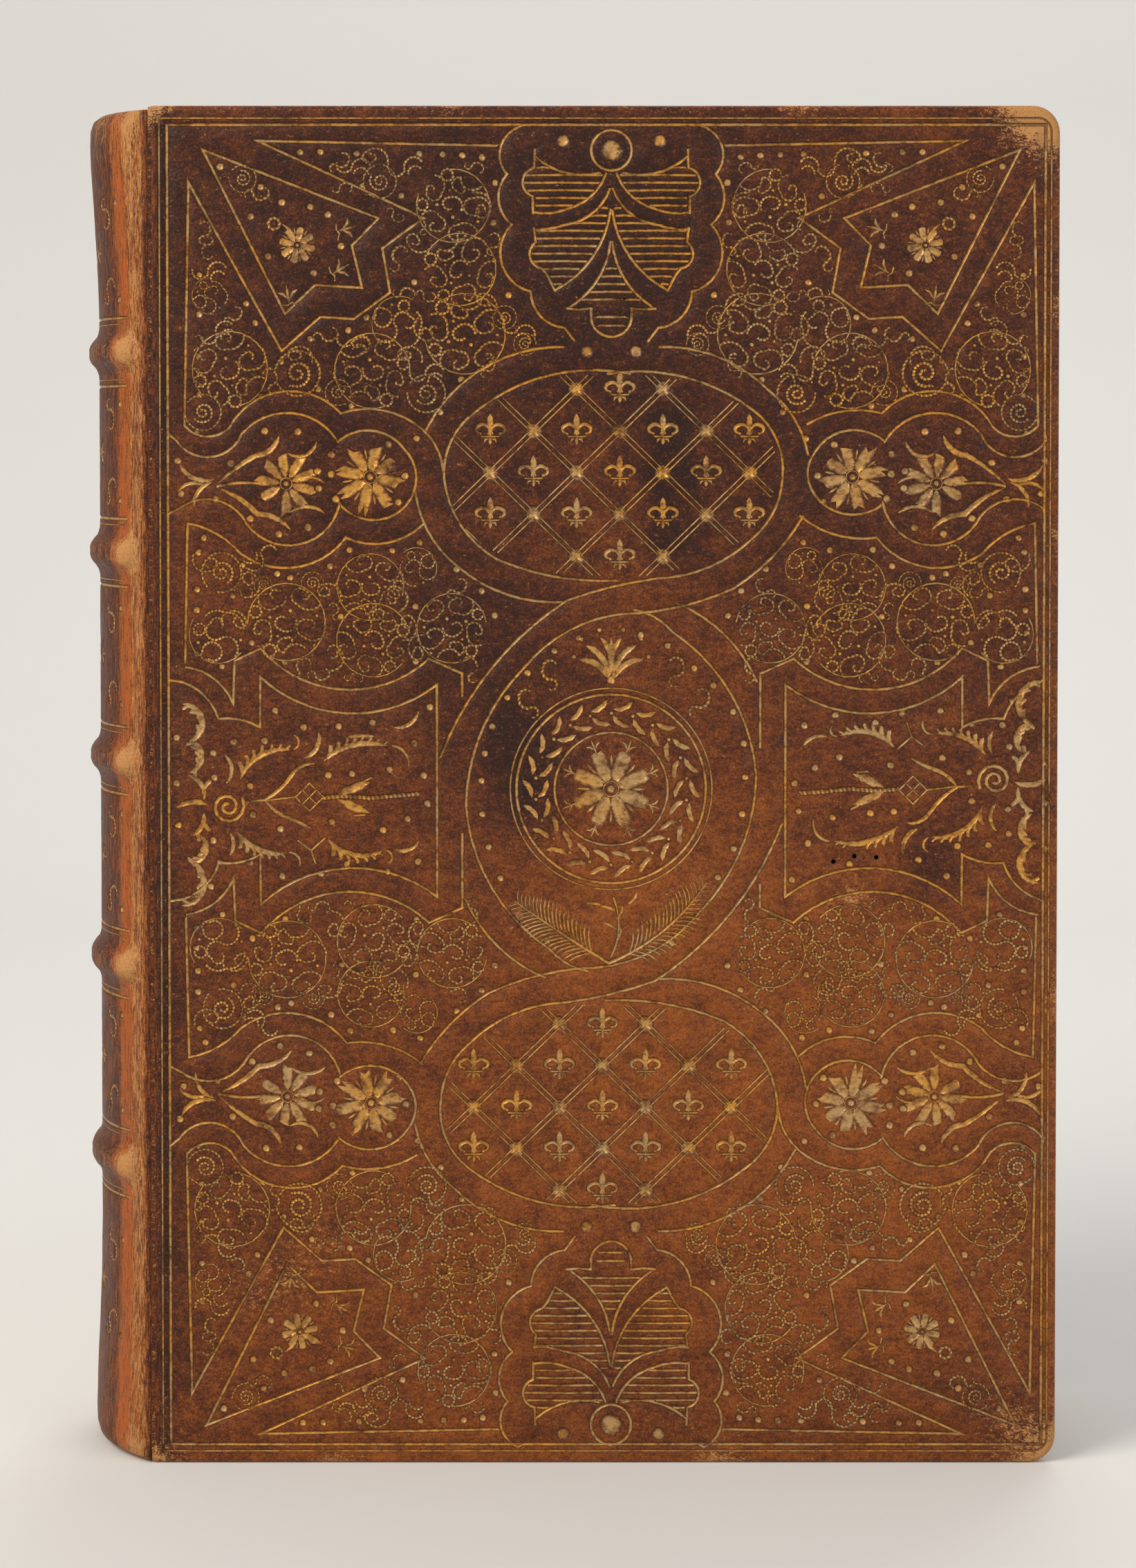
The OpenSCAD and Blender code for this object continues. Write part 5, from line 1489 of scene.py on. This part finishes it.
# %% Leaf edges
leaf_edges, tree, shader = new_material("rag_leaves_gilt_edges")
place = add(tree, "TexCoord").outputs["Object"]
axes = add(tree, "SeparateXYZ", {"Vector": place})
sway = add(tree, "TexNoise", {"Vector": place, "Scale": 1 / (30 * MM), "Detail": 3.0})
level = add(tree, "Math", {0: sway, 1: 1.1 * MM, 2: axes.outputs["Y"]}, operation="MULTIPLY_ADD")
flat = add(tree, "CombineXYZ", {"X": 0.0, "Y": level, "Z": 0.0})
leaves = add(tree, "TexNoise", {"Vector": flat, "Scale": 1 / (0.42 * MM), "Detail": 2.0})
gatherings = add(tree, "Math", {0: level, 1: 1 / (4.0 * MM)}, operation="MULTIPLY")
gathering = add(tree, "Math", {0: gatherings}, operation="FRACT")
seam = add(tree, "MapRange", {"Value": gathering, "From Min": 0.10, "From Max": 0.0})
lines = add(tree, "MapRange", {"Value": leaves, "From Min": 0.35, "From Max": 0.65})
paper_tone = add(tree, "Mix", {"Factor": lines, "A": srgb("8F7446"), "B": srgb("CDB483")},
                 data_type="RGBA")
seamed = add(tree, "Mix", {"Factor": seam, "A": paper_tone, "B": srgb("6A5230")}, data_type="RGBA")
stains = add(tree, "TexNoise", {"Vector": place, "Scale": 1 / (26 * MM), "Detail": 6.0, "Roughness": 0.65})
stain = add(tree, "MapRange", {"Value": stains, "From Min": 0.5, "From Max": 0.75, "To Max": 0.6})
stained = add(tree, "Mix", {"Factor": stain, "A": seamed, "B": srgb("7B5A30")}, data_type="RGBA")
gilt_left = add(tree, "MapRange", {"Value": stains, "From Min": 0.52, "From Max": 0.40, "To Max": 0.55})
gilded = add(tree, "Mix", {"Factor": gilt_left, "A": stained, "B": srgb("B98F45")}, data_type="RGBA")
shine = add(tree, "Math", {0: gilt_left, 1: 0.8}, operation="MULTIPLY")
height = add(tree, "Math", {0: seam, 1: -1.2, 2: leaves}, operation="MULTIPLY_ADD")
bump = add(tree, "Bump", {"Height": height, "Distance": 0.16 * MM, "Strength": 0.9})
feed(tree, shader, {"Base Color": gilded, "Metallic": shine, "Normal": bump, "Roughness": 0.55})
finish(["text_block"], leaf_edges)

# %% [markdown]
# Hemp cord is two strands twisted together, a turn every four millimetres. On the spine it lies
# across the leaves, so its twist follows the way round the spine.

# %% Hemp and silk
def twisted_hemp(name, across_axis):
    """Two strands of hemp twisted along an axis, with painted shade between the strands."""
    material, tree, shader = new_material(name)
    place = add(tree, "TexCoord").outputs["Object"]
    axes = add(tree, "SeparateXYZ", {"Vector": place})
    slant = add(tree, "Math", {0: axes.outputs["Z"], 1: 1.3, 2: axes.outputs[across_axis]},
                operation="MULTIPLY_ADD")
    wave = add(tree, "Math", {0: slant, 1: math.tau / (2.0 * MM)}, operation="MULTIPLY")
    strand = add(tree, "Math", {0: wave}, operation="SINE")
    fibres = add(tree, "TexNoise", {"Vector": place, "Scale": 1 / (0.5 * MM), "Detail": 4.0})
    # the colour is darker in the grooves between the strands: painted shade
    shade = add(tree, "MapRange", {"Value": strand, "From Min": -1.0, "From Max": 0.4})
    shade_and_fibres = add(tree, "Math", {0: shade, 1: 0.7}, operation="MULTIPLY")
    shade_and_fibres = add(tree, "Math", {0: fibres, 1: 0.4, 2: shade_and_fibres}, operation="MULTIPLY_ADD")
    colour = add(tree, "Mix", {"Factor": shade_and_fibres, "A": srgb("7A613C"), "B": srgb("C4A878")},
                 data_type="RGBA")
    height = add(tree, "Math", {0: fibres, 1: 0.3, 2: strand}, operation="MULTIPLY_ADD")
    bump = add(tree, "Bump", {"Height": height, "Distance": 0.25 * MM, "Strength": 0.8})
    feed(tree, shader, {"Base Color": colour, "Normal": bump, "Roughness": 0.9})
    return material


finish([f"sewing_cord_{k}" for k in range(1, 6)], twisted_hemp("twisted_hemp_on_spine", "Y"))
finish(["front_slips", "back_slips"], twisted_hemp("frayed_hemp_slips", "X"))

# each turn of the winding is half red and half undyed silk, and the threads show as fine ridges
wound_silk, tree, shader = new_material("wound_silk")
place = add(tree, "TexCoord").outputs["Object"]
centred = add(tree, "Mapping", {"Vector": place, "Location": (-spine_x * MM, 0, 0)})
axes = add(tree, "SeparateXYZ", {"Vector": centred})
outward = add(tree, "Math", {0: axes.outputs["X"], 1: -1.0}, operation="MULTIPLY")
angle = add(tree, "Math", {0: axes.outputs["Y"], 1: outward}, operation="ARCTAN2")
turns = add(tree, "Math", {0: angle, 1: 36 / (2 * math.radians(46)), 2: 18.0}, operation="MULTIPLY_ADD")
pair = add(tree, "Math", {0: turns, 1: 0.25}, operation="MULTIPLY")
pair = add(tree, "Math", {0: pair}, operation="FRACT")
red = add(tree, "Math", {0: pair, 1: 0.5}, operation="GREATER_THAN")
threads = add(tree, "Math", {0: turns, 1: math.tau * 3}, operation="MULTIPLY")
thread = add(tree, "Math", {0: threads}, operation="SINE")
soil = add(tree, "TexNoise", {"Vector": place, "Scale": 1 / (4 * MM), "Detail": 4.0})
colour = add(tree, "Mix", {"Factor": red, "A": srgb("CDB88C"), "B": srgb("8E3324")}, data_type="RGBA")
soiled = add(tree, "Mix", {"Factor": soil, "A": colour, "B": srgb("6E5236")}, data_type="RGBA")
bump = add(tree, "Bump", {"Height": thread, "Distance": 0.06 * MM, "Strength": 0.8})
feed(tree, shader, {"Base Color": soiled, "Normal": bump, "Roughness": 0.5, "Sheen Weight": 0.25})
finish(["head_endband", "tail_endband"], wound_silk)
